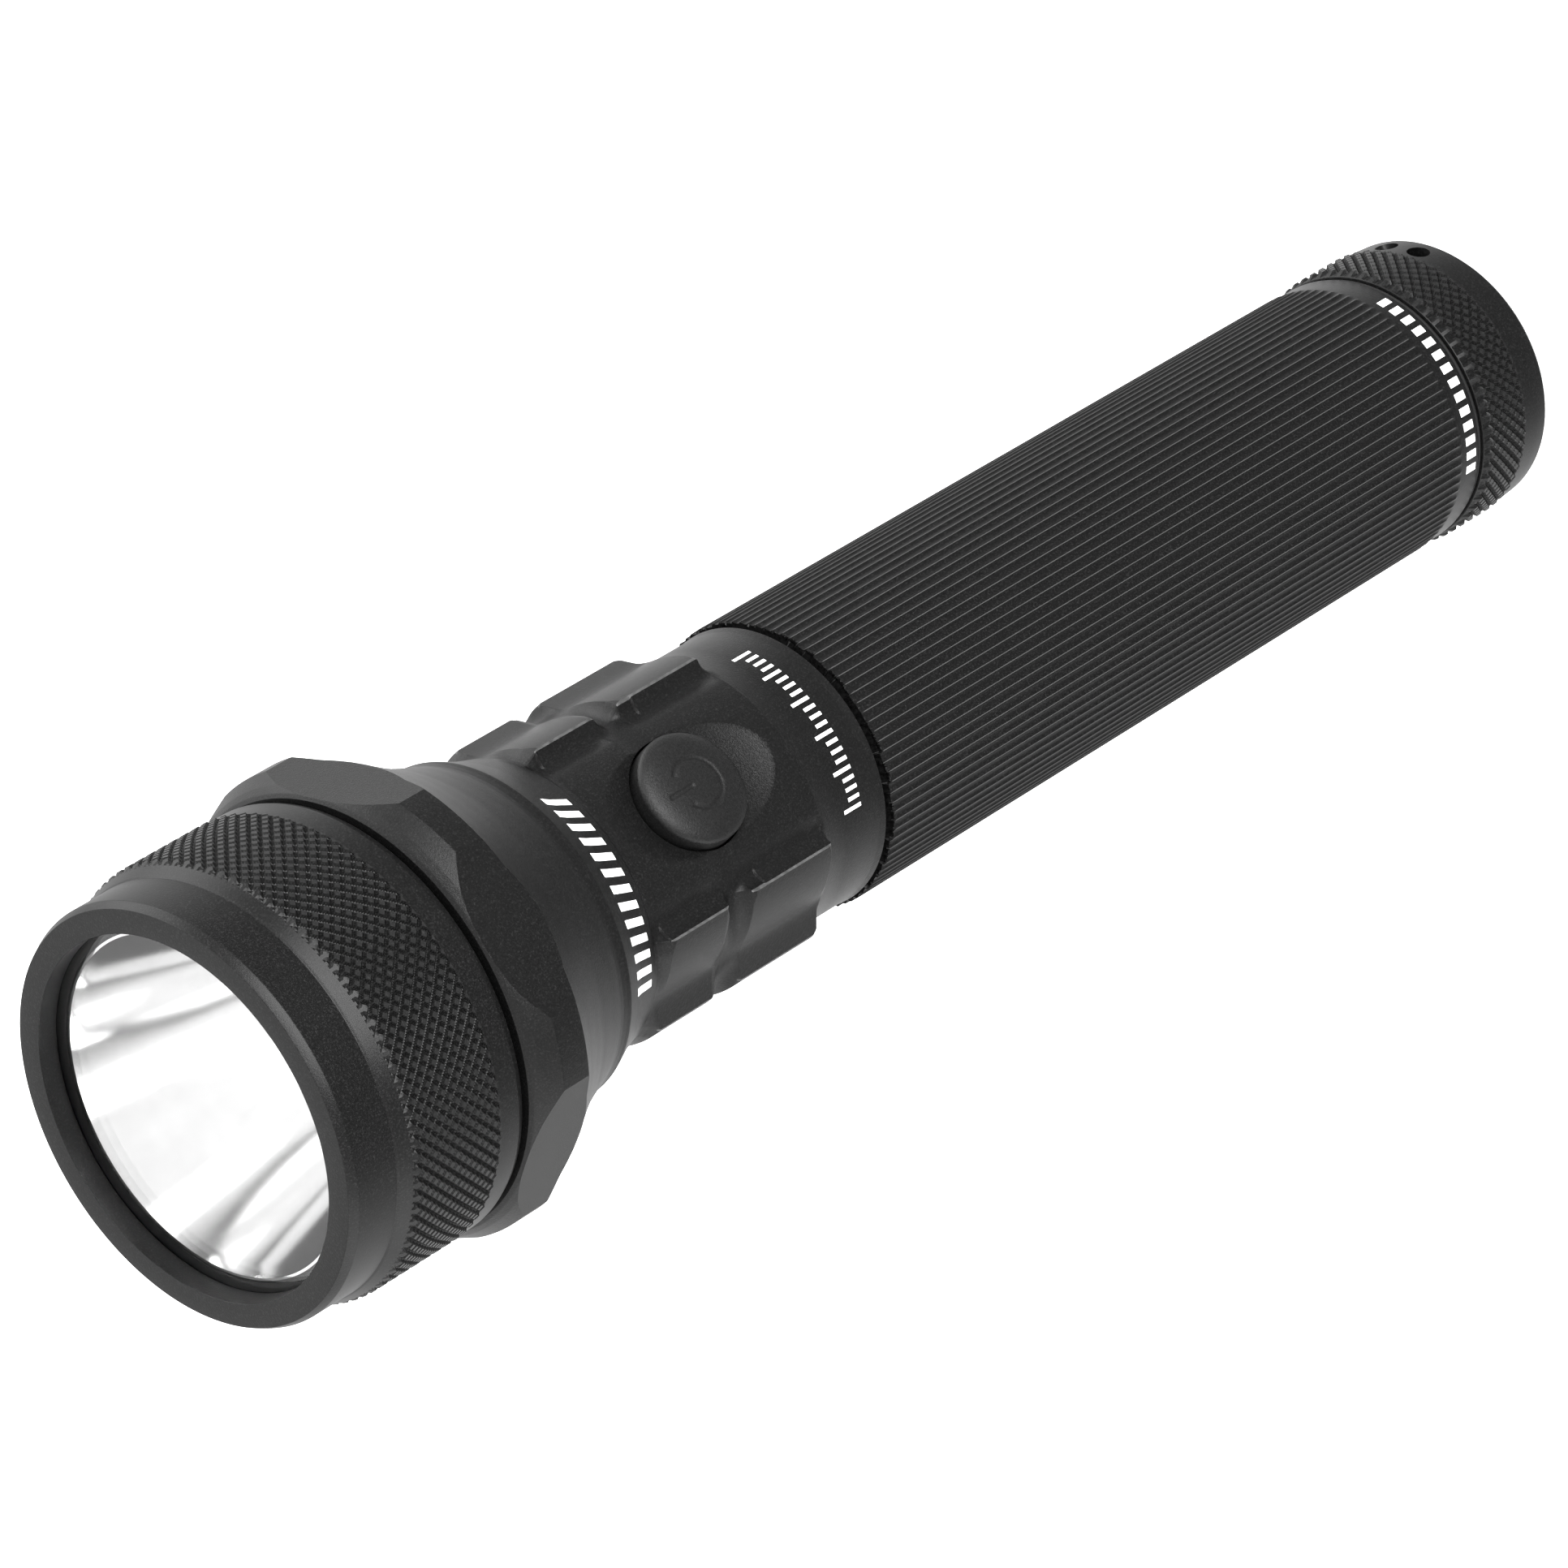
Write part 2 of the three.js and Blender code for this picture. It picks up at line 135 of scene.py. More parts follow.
def eased(path, size=0.15, least=12.0, closed=True):
    """Rounds each corner of a (radius, height) path that turns by more than least degrees."""
    points = [np.array(p, float) for p in path]
    count = len(points)
    out = []
    for k, here in enumerate(points):
        at_end = not closed and k in (0, count - 1)
        before, after = points[k - 1], points[(k + 1) % count]
        back, ahead = before - here, after - here
        reach = [np.linalg.norm(back), np.linalg.norm(ahead)]
        if at_end or min(reach) < 1e-6:
            out.append(tuple(here))
            continue
        bend = 180 - math.degrees(math.acos(np.clip(back @ ahead / (reach[0] * reach[1]), -1, 1)))
        if bend < least or here[0] < 1e-6:
            out.append(tuple(here))
            continue
        cut = min(size, 0.35 * min(reach))
        start = here + back / reach[0] * cut
        end = here + ahead / reach[1] * cut
        for t in (0, 0.33, 0.67, 1):
            out.append(tuple((1 - t) ** 2 * start + 2 * t * (1 - t) * here + t * t * end))
    return out


def refined(path, foot, top, spacing):
    """Adds points so that an open path's stretches between two heights have steps within spacing."""
    out = []
    for start, end in zip(path, path[1:]):
        a, b = np.array(start, float), np.array(end, float)
        out.append(tuple(a))
        inside = min(a[1], b[1]) >= foot - 1e-6 and max(a[1], b[1]) <= top + 1e-6
        steps = math.ceil(np.linalg.norm(b - a) / spacing) if inside else 1
        for i in range(1, steps):
            out.append(tuple(a + (b - a) * i / steps))
    out.append(tuple(path[-1]))
    return out


def angles_of(columns):
    """Evenly spaced angles round the axis."""
    return np.arange(columns) * TURN / columns


def on_body(theta, radius, height):
    """Points at angles measured from the button, which faces -Y."""
    return np.stack([radius * np.sin(theta), -radius * np.cos(theta), height + 0 * theta], -1)


def revolve(name, path, columns, radius=None, theta=None, diagonal=None, closed=True, sharp=32.0):
    """Turned mesh from a counter-clockwise (radius, height) path.
    radius(row, theta) may change each row's radii, theta(row) its column angles, and diagonal(row)
    says whether that row of cells is split into triangles, and which way round it starts."""
    points, ring_start, faces = [], [], []
    base = angles_of(columns)
    for row, (r, z) in enumerate(path):
        ring_start.append(len(points))
        if r < 1e-6:
            points.append((0.0, 0.0, z))
            continue
        angle = base if theta is None else theta(row)
        radii = np.full(columns, r) if radius is None else radius(row, angle)
        points.extend(on_body(angle, radii, z).tolist())
    rows = len(path)
    pairs = [(k, (k + 1) % rows) for k in range(rows if closed else rows - 1)]
    for here, there in pairs:
        a0, b0 = ring_start[here], ring_start[there]
        pole_a, pole_b = path[here][0] < 1e-6, path[there][0] < 1e-6
        if pole_a and pole_b:
            continue
        split = None if diagonal is None else diagonal(here)
        for j in range(columns):
            k = (j + 1) % columns
            if pole_a:
                faces.append((a0, b0 + k, b0 + j))
            elif pole_b:
                faces.append((a0 + j, a0 + k, b0))
            elif split is None:
                faces.append((a0 + j, a0 + k, b0 + k, b0 + j))
            elif (j + split) % 2 == 0:
                faces.append((a0 + j, a0 + k, b0 + k))
                faces.append((a0 + j, b0 + k, b0 + j))
            else:
                faces.append((a0 + j, a0 + k, b0 + j))
                faces.append((a0 + k, b0 + k, b0 + j))
    return make_object(name, points, faces, sharp)


def cylinder_cutter(start, end, radius, sides=96):
    """Plain closed cylinder between two points in millimetres, used only to cut."""
    axis = (Vector(end) - Vector(start)) * MM
    mesh = bpy.data.meshes.new("cutter")
    bm = bmesh.new()
    bmesh.ops.create_cone(
        bm, cap_ends=True, segments=sides, radius1=radius * MM, radius2=radius * MM, depth=axis.length
    )
    turn = axis.to_track_quat("Z", "Y").to_matrix().to_4x4()
    middle = (Vector(start) + Vector(end)) * 0.5 * MM
    bm.transform(Matrix.Translation(middle) @ turn)
    bm.to_mesh(mesh)
    bm.free()
    cutter = bpy.data.objects.new("cutter", mesh)
    bpy.context.scene.collection.objects.link(cutter)
    return cutter


def cut_away(obj, cutter, sharp):
    """Subtracts the cutter for good and removes it."""
    modifier = obj.modifiers.new("cut", "BOOLEAN")
    modifier.operation = "DIFFERENCE"
    modifier.solver = "EXACT"
    modifier.object = cutter
    depsgraph = bpy.context.evaluated_depsgraph_get()
    result = bpy.data.meshes.new_from_object(obj.evaluated_get(depsgraph))
    obj.modifiers.clear()
    obj.data = result
    bpy.data.objects.remove(cutter)
    shade(obj, sharp)


def dress(obj, body, slot, material, *nodes):
    """Gives a piece its material and its body, and hides the CAD nodes that it stands for; slot is not used.
    """
    obj.data.materials.clear()
    obj.data.materials.append(material)
    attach(obj, body)
    if nodes:
        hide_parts(*nodes)
    return obj


def smooth_min(a, b, width):
    """The lower of two heights, with a fillet of about the given width where they meet."""
    h = np.clip(0.5 + 0.5 * (b - a) / width, 0, 1)
    return b * (1 - h) + a * h - width * h * (1 - h)


# ---- knurling ----------------------------------------------------------------------------------
class Knurl:
    """Crossed helical grooves that leave flat-topped diamonds with a raised burr round each.
    Mesh columns and rows fall on the grooves, so every groove and crest is an edge of the mesh."""

    CELLS = 4  # mesh steps per half tooth
    ACROSS = (0, 0.25, 0.5, 0.75, 1)  # from the middle of a crest to the middle of a groove
    SUNK = (0, 0, -0.14, 0.75, 1)  # share of the depth at each of these places, with the burr proud

    def __init__(self, teeth, per_mm, crest, depth, foot, top):
        self.teeth, self.per_mm = teeth, per_mm
        self.crest, self.depth = crest, depth
        self.foot, self.top = foot, top
        self.columns = 2 * self.CELLS * teeth
        self.step = 1 / (2 * self.CELLS * per_mm)
        self.rows = int((top - foot) / self.step)

    def heights(self):
        return [self.foot + i * self.step for i in range(self.rows + 1)]

    def radius(self, theta, height, blank):
        along = (height - self.foot) * self.per_mm
        around = theta * self.teeth / TURN
        groove = np.maximum(self.groove(around + along), self.groove(around - along))
        return np.minimum(blank, self.crest - self.depth * groove)

    @staticmethod
    def groove(phase):
        off_centre = np.abs((phase % 1.0) - 0.5) * 2
        return np.interp(off_centre, Knurl.ACROSS, Knurl.SUNK)


def knurled_shell(name, knurl, lower, teeth, upper, extra_rows=0, closed=True):
    """Turned shell whose tooth rows, and some of the rows just above them, carry the knurl."""
    path = lower + teeth + upper
    first, last = len(lower), len(lower) + len(teeth) - 1

    def radius(row, theta):
        r, z = path[row]
        if first <= row <= last + extra_rows:
            return knurl.radius(theta, z, r)
        return np.full(len(theta), r)

    def diagonal(row):
        return (row - first) % 2 if first <= row < last else None

    return revolve(name, path, knurl.columns, radius, diagonal=diagonal, closed=closed, sharp=20)


# ---- materials ---------------------------------------------------------------------------------
class Shader:
    """A material's node tree with short calls for the nodes that the finishes share."""

    def __init__(self, name):
        self.material = bpy.data.materials.new(name)
        self.material.use_nodes = True
        self.tree = self.material.node_tree
        self.tree.nodes.clear()
        self.surface = self.node("ShaderNodeBsdfPrincipled")
        output = self.node("ShaderNodeOutputMaterial")
        self.link(self.surface.outputs["BSDF"], output.inputs["Surface"])
        coordinates = self.node("ShaderNodeTexCoord")
        self.place = coordinates.outputs["Object"]

    def node(self, kind, **settings):
        made = self.tree.nodes.new(kind)
        for key, value in settings.items():
            setattr(made, key, value)
        return made

    def link(self, source, target):
        self.tree.links.new(source, target)

    def set(self, **values):
        for key, value in values.items():
            self.surface.inputs[key.replace("_", " ")].default_value = value

    def noise(self, scale, detail=2.0, rough=0.5, vector=None):
        made = self.node("ShaderNodeTexNoise")
        made.inputs["Scale"].default_value = scale
        made.inputs["Detail"].default_value = detail
        made.inputs["Roughness"].default_value = rough
        self.link(vector or self.place, made.inputs["Vector"])
        return made.outputs["Fac"]

    def stretched(self, x, y, z):
        made = self.node("ShaderNodeMapping")
        made.inputs["Scale"].default_value = (x, y, z)
        self.link(self.place, made.inputs["Vector"])
        return made.outputs["Vector"]

    def ramp(self, value, *stops):
        """Colour ramp from (position, colour) stops."""
        made = self.node("ShaderNodeValToRGB")
        while len(made.color_ramp.elements) < len(stops):
            made.color_ramp.elements.new(0.5)
        for element, (position, color) in zip(made.color_ramp.elements, stops):
            element.position = position
            element.color = grey(color) if isinstance(color, float) else (*color, 1)
        self.link(value, made.inputs["Fac"])
        return made.outputs["Color"]

    def span(self, value, low_value, high_value):
        made = self.node("ShaderNodeMapRange")
        made.inputs["To Min"].default_value = low_value
        made.inputs["To Max"].default_value = high_value
        self.link(value, made.inputs["Value"])
        return made.outputs["Result"]

    def color(self, output):
        self.link(output, self.surface.inputs["Base Color"])
        return self

    def rough(self, output):
        self.link(output, self.surface.inputs["Roughness"])

    def bump(self, *layers):
        """Stacks (height, strength, distance) bumps, the coarsest first."""
        below = None
        for height, strength, distance in layers:
            made = self.node("ShaderNodeBump")
            made.inputs["Strength"].default_value = strength
            made.inputs["Distance"].default_value = distance
            self.link(height, made.inputs["Height"])
            if below:
                self.link(below, made.inputs["Normal"])
            below = made.outputs["Normal"]
        self.link(below, self.surface.inputs["Normal"])
        return self


def grey(value):
    """Opaque grey as a node's colour."""
    return (value, value, value, 1)


def anodised_aluminium():
    """Bead-blasted black anodising: fine matte grain with paler specks and a soft sheen."""
    s = Shader("black_anodising")
    grain = s.noise(4000, 3, 0.75)
    tone = s.ramp(grain, (0.3, 0.0025), (0.55, 0.005), (0.75, 0.02))
    cloud = s.noise(60, 3, 0.5)
    s.set(Metallic=0.0, IOR=1.31)
    s.color(tone).rough(s.span(cloud, 0.33, 0.4))
    return s.bump((grain, 0.5, 0.0001)).material


def worn_highlit_aluminium(name, crest, worn_highlight_tone=0.045):
    """The same anodising on cut teeth or ribs, paler where burrs stand proud of the crest: partly wear,
    partly a painted highlight along the crest lines.
    """
    s = Shader(name)
    grain = s.noise(4200, 2, 0.6)
    base = s.ramp(grain, (0.3, 0.0025), (0.55, 0.005), (0.75, 0.017))
    split = s.node("ShaderNodeSeparateXYZ")
    s.link(s.place, split.inputs[0])
    flat = s.node("ShaderNodeCombineXYZ")
    s.link(split.outputs["X"], flat.inputs["X"])
    s.link(split.outputs["Y"], flat.inputs["Y"])
    radius = s.node("ShaderNodeVectorMath", operation="LENGTH")
    s.link(flat.outputs[0], radius.inputs[0])
    # paler colour where the surface stands proud of the crest: wear and a painted highlight
    worn_highlight_share = s.node("ShaderNodeMapRange")
    worn_highlight_share.inputs["From Min"].default_value = (crest - 0.01) * MM
    worn_highlight_share.inputs["From Max"].default_value = (crest + 0.05) * MM
    s.link(radius.outputs["Value"], worn_highlight_share.inputs["Value"])
    blend = s.node("ShaderNodeMix", data_type="RGBA")
    s.link(worn_highlight_share.outputs["Result"], blend.inputs["Factor"])
    s.link(base, blend.inputs[6])
    blend.inputs[7].default_value = grey(worn_highlight_tone)
    s.set(Metallic=0.0, IOR=1.31)
    s.color(blend.outputs[2]).rough(s.span(grain, 0.32, 0.44))
    return s.bump((grain, 0.3, 0.00006)).material


def worn_edge_and_painted_highlight():
    """Paler colour along an edge: partly anodising worn thin, partly a painted highlight line."""
    s = Shader("black_anodising_edge_wear_and_highlight")
    wear = s.noise(700, 3, 0.6)
    s.set(Metallic=0.0, IOR=1.5)
    s.color(s.ramp(wear, (0.3, 0.03), (0.7, 0.09))).rough(s.span(wear, 0.28, 0.4))
    return s.bump((wear, 0.2, 0.00005)).material


def painted_gap_shade():
    """Near-black colour with a weak reflection: painted shade for faces deep in a gap, where light hardly
    reaches.
    """
    s = Shader("black_anodising_painted_gap_shade")
    grain = s.noise(3000, 2, 0.6)
    s.set(Metallic=0.0, IOR=1.08)
    s.color(s.ramp(grain, (0.3, 0.0005), (0.7, 0.004))).rough(s.span(grain, 0.6, 0.8))
    return s.bump((grain, 0.4, 0.0001)).material


def soft_rubber(name, dark, light, gloss=(0.62, 0.8)):
    """Black moulded rubber with a fine grain."""
    s = Shader(name)
    grain = s.noise(3600, 3, 0.7)
    s.set(Metallic=0.0, IOR=1.38)
    s.color(s.ramp(grain, (0.35, dark), (0.7, light))).rough(s.span(grain, *gloss))
    return s.bump((grain, 0.5, 0.00012)).material


def mirror_coat():
    """Vacuum-plated aluminium with a faint ripple."""
    s = Shader("reflector_metallising")
    ripple = s.noise(160, 2, 0.4)
    s.set(Metallic=1.0)
    s.color(s.ramp(ripple, (0.3, 0.9), (0.7, 0.95))).rough(s.span(ripple, 0.07, 0.11))
    return s.bump((ripple, 0.02, 0.0002)).material


def window_glass():
    """Clear glass with a trace of haze."""
    s = Shader("lens_glass")
    haze = s.noise(300, 2, 0.5)
    s.set(Metallic=0.0, IOR=1.46)
    s.surface.inputs["Transmission Weight"].default_value = 1.0
    s.color(s.ramp(haze, (0.3, 0.975), (0.7, 1.0))).rough(s.span(haze, 0.0, 0.01))
    return s.material


def white_print():
    """Slightly uneven white ink."""
    s = Shader("white_print")
    grain = s.noise(2500, 2, 0.5)
    s.set(Metallic=0.0, IOR=1.45)
    s.color(s.ramp(grain, (0.3, 0.78), (0.7, 0.88))).rough(s.span(grain, 0.45, 0.6))
    return s.bump((grain, 0.15, 0.00004)).material


def turned_metal(name, dark, light):
    """Bare metal with fine turning lines round the torch axis."""
    s = Shader(name)
    lines = s.noise(40, 4, 0.7, s.stretched(1, 1, 220))
    s.set(Metallic=1.0)
    s.color(s.ramp(lines, (0.3, dark), (0.7, light))).rough(s.span(lines, 0.22, 0.4))
    return s.bump((lines, 0.2, 0.00008)).material


def coated(name, dark, light, gloss=(0.35, 0.5)):
    """Moulded or lacquered surface with a faint mottle."""
    s = Shader(name)
    mottle = s.noise(700, 3, 0.6)
    s.set(Metallic=0.0, IOR=1.5)
    s.color(s.ramp(mottle, (0.35, dark), (0.7, light))).rough(s.span(mottle, *gloss))
    return s.bump((mottle, 0.2, 0.00008)).material


def pale_floor():
    """White table that glows a little."""
    s = Shader("pale_floor")
    mottle = s.noise(12, 2, 0.5)
    s.set(Metallic=0.0, IOR=1.3)
    s.set(Emission_Color=grey(1.0), Emission_Strength=FLOOR_GLOW)
    s.color(s.ramp(mottle, (0.3, 0.86), (0.7, 0.88))).rough(s.span(mottle, 0.85, 0.95))
    return s.material


body_metal = anodised_aluminium()
# paler crests and burrs: wear and a painted highlight
cut_metal = worn_highlit_aluminium("black_anodising_thread", 30)
head_metal = worn_highlit_aluminium("black_anodising_head", HEAD_CREST)
tail_metal = worn_highlit_aluminium("black_anodising_tail", TAIL_CREST)
rib_metal = worn_highlit_aluminium("black_anodising_ribs", RIB_CREST, 0.09)
# paler edge colour: wear and a painted highlight line
ridge_wear_and_highlight = worn_edge_and_painted_highlight()
# painted shade for the deep gap behind the switch housing
gap_shade_finish = painted_gap_shade()
seal = soft_rubber("seal_rubber", 0.006, 0.012)
boot = soft_rubber("button_rubber", 0.003, 0.009, (0.4, 0.52))
print_white = white_print()

# ---- camera, in degrees and metres -------------------------------------------------------------
CAMERA_AZIMUTH = -8.0
CAMERA_ELEVATION = 40.02
CAMERA_DISTANCE = 0.9574
CAMERA_LENS = 175.0
CAMERA_ROLL = 121.0  # lays the upright torch across the picture
AIM_X = -0.0026
AIM_Z = 0.1381


def place_camera():
    """Camera on the button's side, above the torch and rolled."""
    a, e = math.radians(CAMERA_AZIMUTH), math.radians(CAMERA_ELEVATION)
    back = Vector((math.sin(a) * math.cos(e), -math.cos(a) * math.cos(e), math.sin(e)))
    level = Vector((0, 0, 1)) - back * back.z
    level.normalize()
    side = level.cross(back)
    roll = math.radians(CAMERA_ROLL)
    right = side * math.cos(roll) - level * math.sin(roll)
    up = back.cross(right)
    turn = Matrix((right, up, back)).transposed().to_4x4()
    data = bpy.data.cameras.new("camera")
    data.lens = CAMERA_LENS
    data.sensor_width = 36
    data.clip_start, data.clip_end = 0.05, 20
    camera = bpy.data.objects.new("camera", data)
    bpy.context.scene.collection.objects.link(camera)
    camera.matrix_world = Matrix.Translation(Vector((AIM_X, 0, AIM_Z)) + back * CAMERA_DISTANCE) @ turn
    bpy.context.scene.camera = camera


place_camera()


# ---- face cap ----------------------------------------------------------------------------------
def face_cap():
    """Knurled ring with a conical front end to its knurl and a lip that holds the lens."""
    knurl = Knurl(94, 0.541, HEAD_CREST, KNURL_DEPTH, CAP_FOOT + 4.34, CAP_FOOT + 20.3)
    cone_foot, cone_top = CAP_FOOT + 17.9, CAP_FOOT + 20.4
    cone_end = 27.8
    inside, lens_opening = 26, 23.8
    before = [(inside, CAP_FOOT), (28.25, CAP_FOOT), (28.7, CAP_FOOT + 1.1), (28.7, CAP_FOOT + 4.28)]
    after = [
        (cone_end, cone_top), (27.62, CAP_FOOT + 20.65), (27.6, LENGTH - 1.2), (27.0, LENGTH),
        (lens_opening, LENGTH), (lens_opening, LIP_Z), (inside, LIP_Z),
    ]
    heights = knurl.heights()
    blanks = np.interp(heights, (cone_foot, cone_top), (HEAD_CREST, cone_end)).tolist()
    lower = eased(before, ROUNDING, closed=False)
    upper = eased(after, ROUNDING, closed=False)
    return knurled_shell("face_cap_shell", knurl, lower, list(zip(blanks, heights)), upper)


dress(face_cap(), "face_cap", "anodised_body", head_metal, "face_cap")


# ---- head and switch housing -------------------------------------------------------------------
# The angles of the pads' edges, and the numbers of the mesh columns that fall on them.
PAD_ANGLES = [0, FLUTE_START, FLUTE_BOTTOM]
PAD_COLUMNS = [0, 96, 112]
for number, ridge in enumerate(RIDGES):
    PAD_ANGLES += [ridge - RIDGE_EDGE, ridge + RIDGE_EDGE, min(ridge + RIDGE_RUN, 180)]
    PAD_COLUMNS += [130 + 61 * number, 131 + 61 * number, min(169 + 61 * number, COLUMNS // 2)]


def pad_columns(even):
    """Column angles that put a column on every pad ridge, valley and foot."""
    degrees = np.degrees(np.where(even > math.pi, even - TURN, even))
    size = np.interp(np.abs(degrees) * COLUMNS_PER_DEGREE, PAD_COLUMNS, PAD_ANGLES)
    return np.radians(np.sign(degrees) * size)


def hex_columns(even, half_width):
    """Column angles that put a column on both edges of every anti-roll flat."""
    edge = HEX_FLAT_COLUMNS / COLUMNS_PER_DEGREE
    grid_turn = round(HEX_TURN * COLUMNS_PER_DEGREE) / COLUMNS_PER_DEGREE
    degrees = np.degrees(even) - grid_turn
    middle = np.round(degrees / 60) * 60
    off = degrees - middle
    size = np.interp(np.abs(off), (0, edge, 30), (0, half_width, 30))
    return np.radians(middle + np.sign(off) * size + HEX_TURN)


def pad_profile(size, power):
    """Stand-off of the pads against degrees from the button: a flute, sharp ridges and sloping runs."""
    into_flute = np.clip((size - FLUTE_START) / (FLUTE_BOTTOM - FLUTE_START), 0, 1)
    lift = -FLUTE_DEPTH * (1 - np.cos(np.pi * into_flute)) / 2
    foot, foot_lift = FLUTE_BOTTOM, -FLUTE_DEPTH
    for ridge in RIDGES:
        climb = np.clip((size - foot) / (ridge - foot), 0, 1) ** power
        flank = foot_lift + (PAD_LIFT - foot_lift) * climb
        lift = np.where((size > foot) & (size <= ridge), flank, lift)
        run = PAD_LIFT + (VALLEY_LIFT - PAD_LIFT) * (size - ridge) / RIDGE_RUN
        lift = np.where(size > ridge, run, lift)
        foot, foot_lift, power = ridge + RIDGE_RUN, VALLEY_LIFT, SIDE_FLANK_POWER
    return lift


def softened(power):
    """The pad outline on a fine grid of degrees, with fillets in the valleys and crisp ridges."""
    grid = np.arange(0, 180.1, 0.1)
    sharp = pad_profile(grid, power)
    reach = 30  # grid steps that the fillet looks to either side
    window = np.hanning(2 * reach + 1)
    window /= window.sum()
    soft = np.convolve(np.pad(sharp, reach, "reflect"), window, "valid")
    from_ridge = np.min([np.abs(grid - ridge) for ridge in RIDGES], axis=0)
    share = np.clip((from_ridge - 0.8) / 2.5, 0, 1)
    return grid, sharp * (1 - share) + soft * share


PAD_SHAPE = softened(FLANK_POWER)
PAD_CORNER = softened(2 * FLANK_POWER)


def pad_lift(angle, z):
    """Stand-off of the pads at a height: walls at both ends of a row, a hollower flank at its front."""
    size = np.degrees(np.abs((angle + math.pi) % TURN - math.pi))
    for front_foot, front_edge, front_power, corner, rear_edge, rear_foot in PAD_ROWS:
        if not rear_foot < z < front_foot:
            continue
        hollow = np.clip((z - corner) / CORNER_RUN, 0, 1)
        lift = np.interp(size, *PAD_SHAPE) * (1 - hollow) + np.interp(size, *PAD_CORNER) * hollow
        from_end = max(0.0, min(front_edge - z, z - rear_edge))
        lift = np.minimum(lift, PAD_LIFT - PAD_DROP * max(0.0, 1 - from_end / PAD_DROP_RUN) ** 2)
        front = min(1.0, (front_foot - z) / (front_foot - front_edge)) ** front_power
        rear = min(1.0, (z - rear_foot) / (rear_edge - rear_foot)) ** 2
        return lift * front * rear
    return np.zeros_like(size)


def dish_radius(theta, z):
    """Distance from the axis to the spherical scoop round the button, and far out beside it."""
    centre = SECTION_R - DISH_DEPTH + DISH_R
    reach = DISH_R**2 - (z - BUTTON_Z) ** 2 - (centre * np.sin(theta)) ** 2
    front = np.cos(theta) > 0
    near = centre * np.cos(theta) - np.sqrt(np.maximum(reach, 0))
    return np.where((reach > 0) & front, near, 99.0)


NECK_R = 19.0
HOUSING_OUTER = [
    # neck
    (19.15, 138.5), (NECK_R, 139.6), (NECK_R, 146.2), (19.12, 147.6), (19.35, 149.0), (19.62, 150.3),
    # grip section with the channel between its two rows of pads
    (SECTION_R, 150.62), (SECTION_R, 165.5), (19.52, 166.4), (19.42, 167.3), (19.4, 168.0), (19.42, 168.7),
    (19.52, 169.6), (SECTION_R, 170.5), (SECTION_R, 181.4), (19.85, 182.1),
    # cone band and flare
    (20.15, 182.5), (21.3, 186.3), (22.85, 189.8), (22.8, 190.4), (22.85, 191.2), (23.05, 191.9),
    (23.35, 192.6), (24.0, 194.5), (25.1, 197.3), (26.5, 200.0), (28.2, 202.9), (29.75, 205.3),
    # anti-roll ring
    (31.0, 206.2), (31.0, 210.5), (29.7, 212.8), (29.0, 213.7), (28.5, 214.05),
]
TUBE_SPIGOT = [(17.0, 131), (18.1, 131), (18.1, 138.45)]
HEAD_SPIGOT = [
    (26.8, 214.05), (26.7, 213), (24.8, 213), (24.8, 214.9), (25.2, 215.1), (25.2, 216.4), (25.15, 232.9),
    (24.7, 233.6), (23.4, 233.6), (23.4, 226), (17.5, 200), (17.5, 186), (15.5, 186), (15.5, 147.3),
    (17.0, 147.3),
]


def with_pad_rows(outer):
    """Adds rows of points on the edges of the pads' end walls, and fine ones down the walls."""
    heights = []
    for front_foot, front_edge, _, corner, rear_edge, rear_foot in PAD_ROWS:
        heights += [corner, corner + CORNER_RUN, front_foot - 0.01]
        heights += list(np.linspace(front_edge - PAD_DROP_RUN, front_edge, 7))
        heights += list(np.linspace(rear_foot, rear_edge + PAD_DROP_RUN, 12))
        heights += list(np.linspace(front_edge, front_foot, 8)[1:-1])
    radii, kept = np.array(outer).T
    apart = [z for z in heights if np.min(np.abs(kept - z)) > 0.03]
    added = [(float(np.interp(z, kept, radii)), float(z)) for z in apart]
    return sorted(outer + added, key=lambda point: point[1])


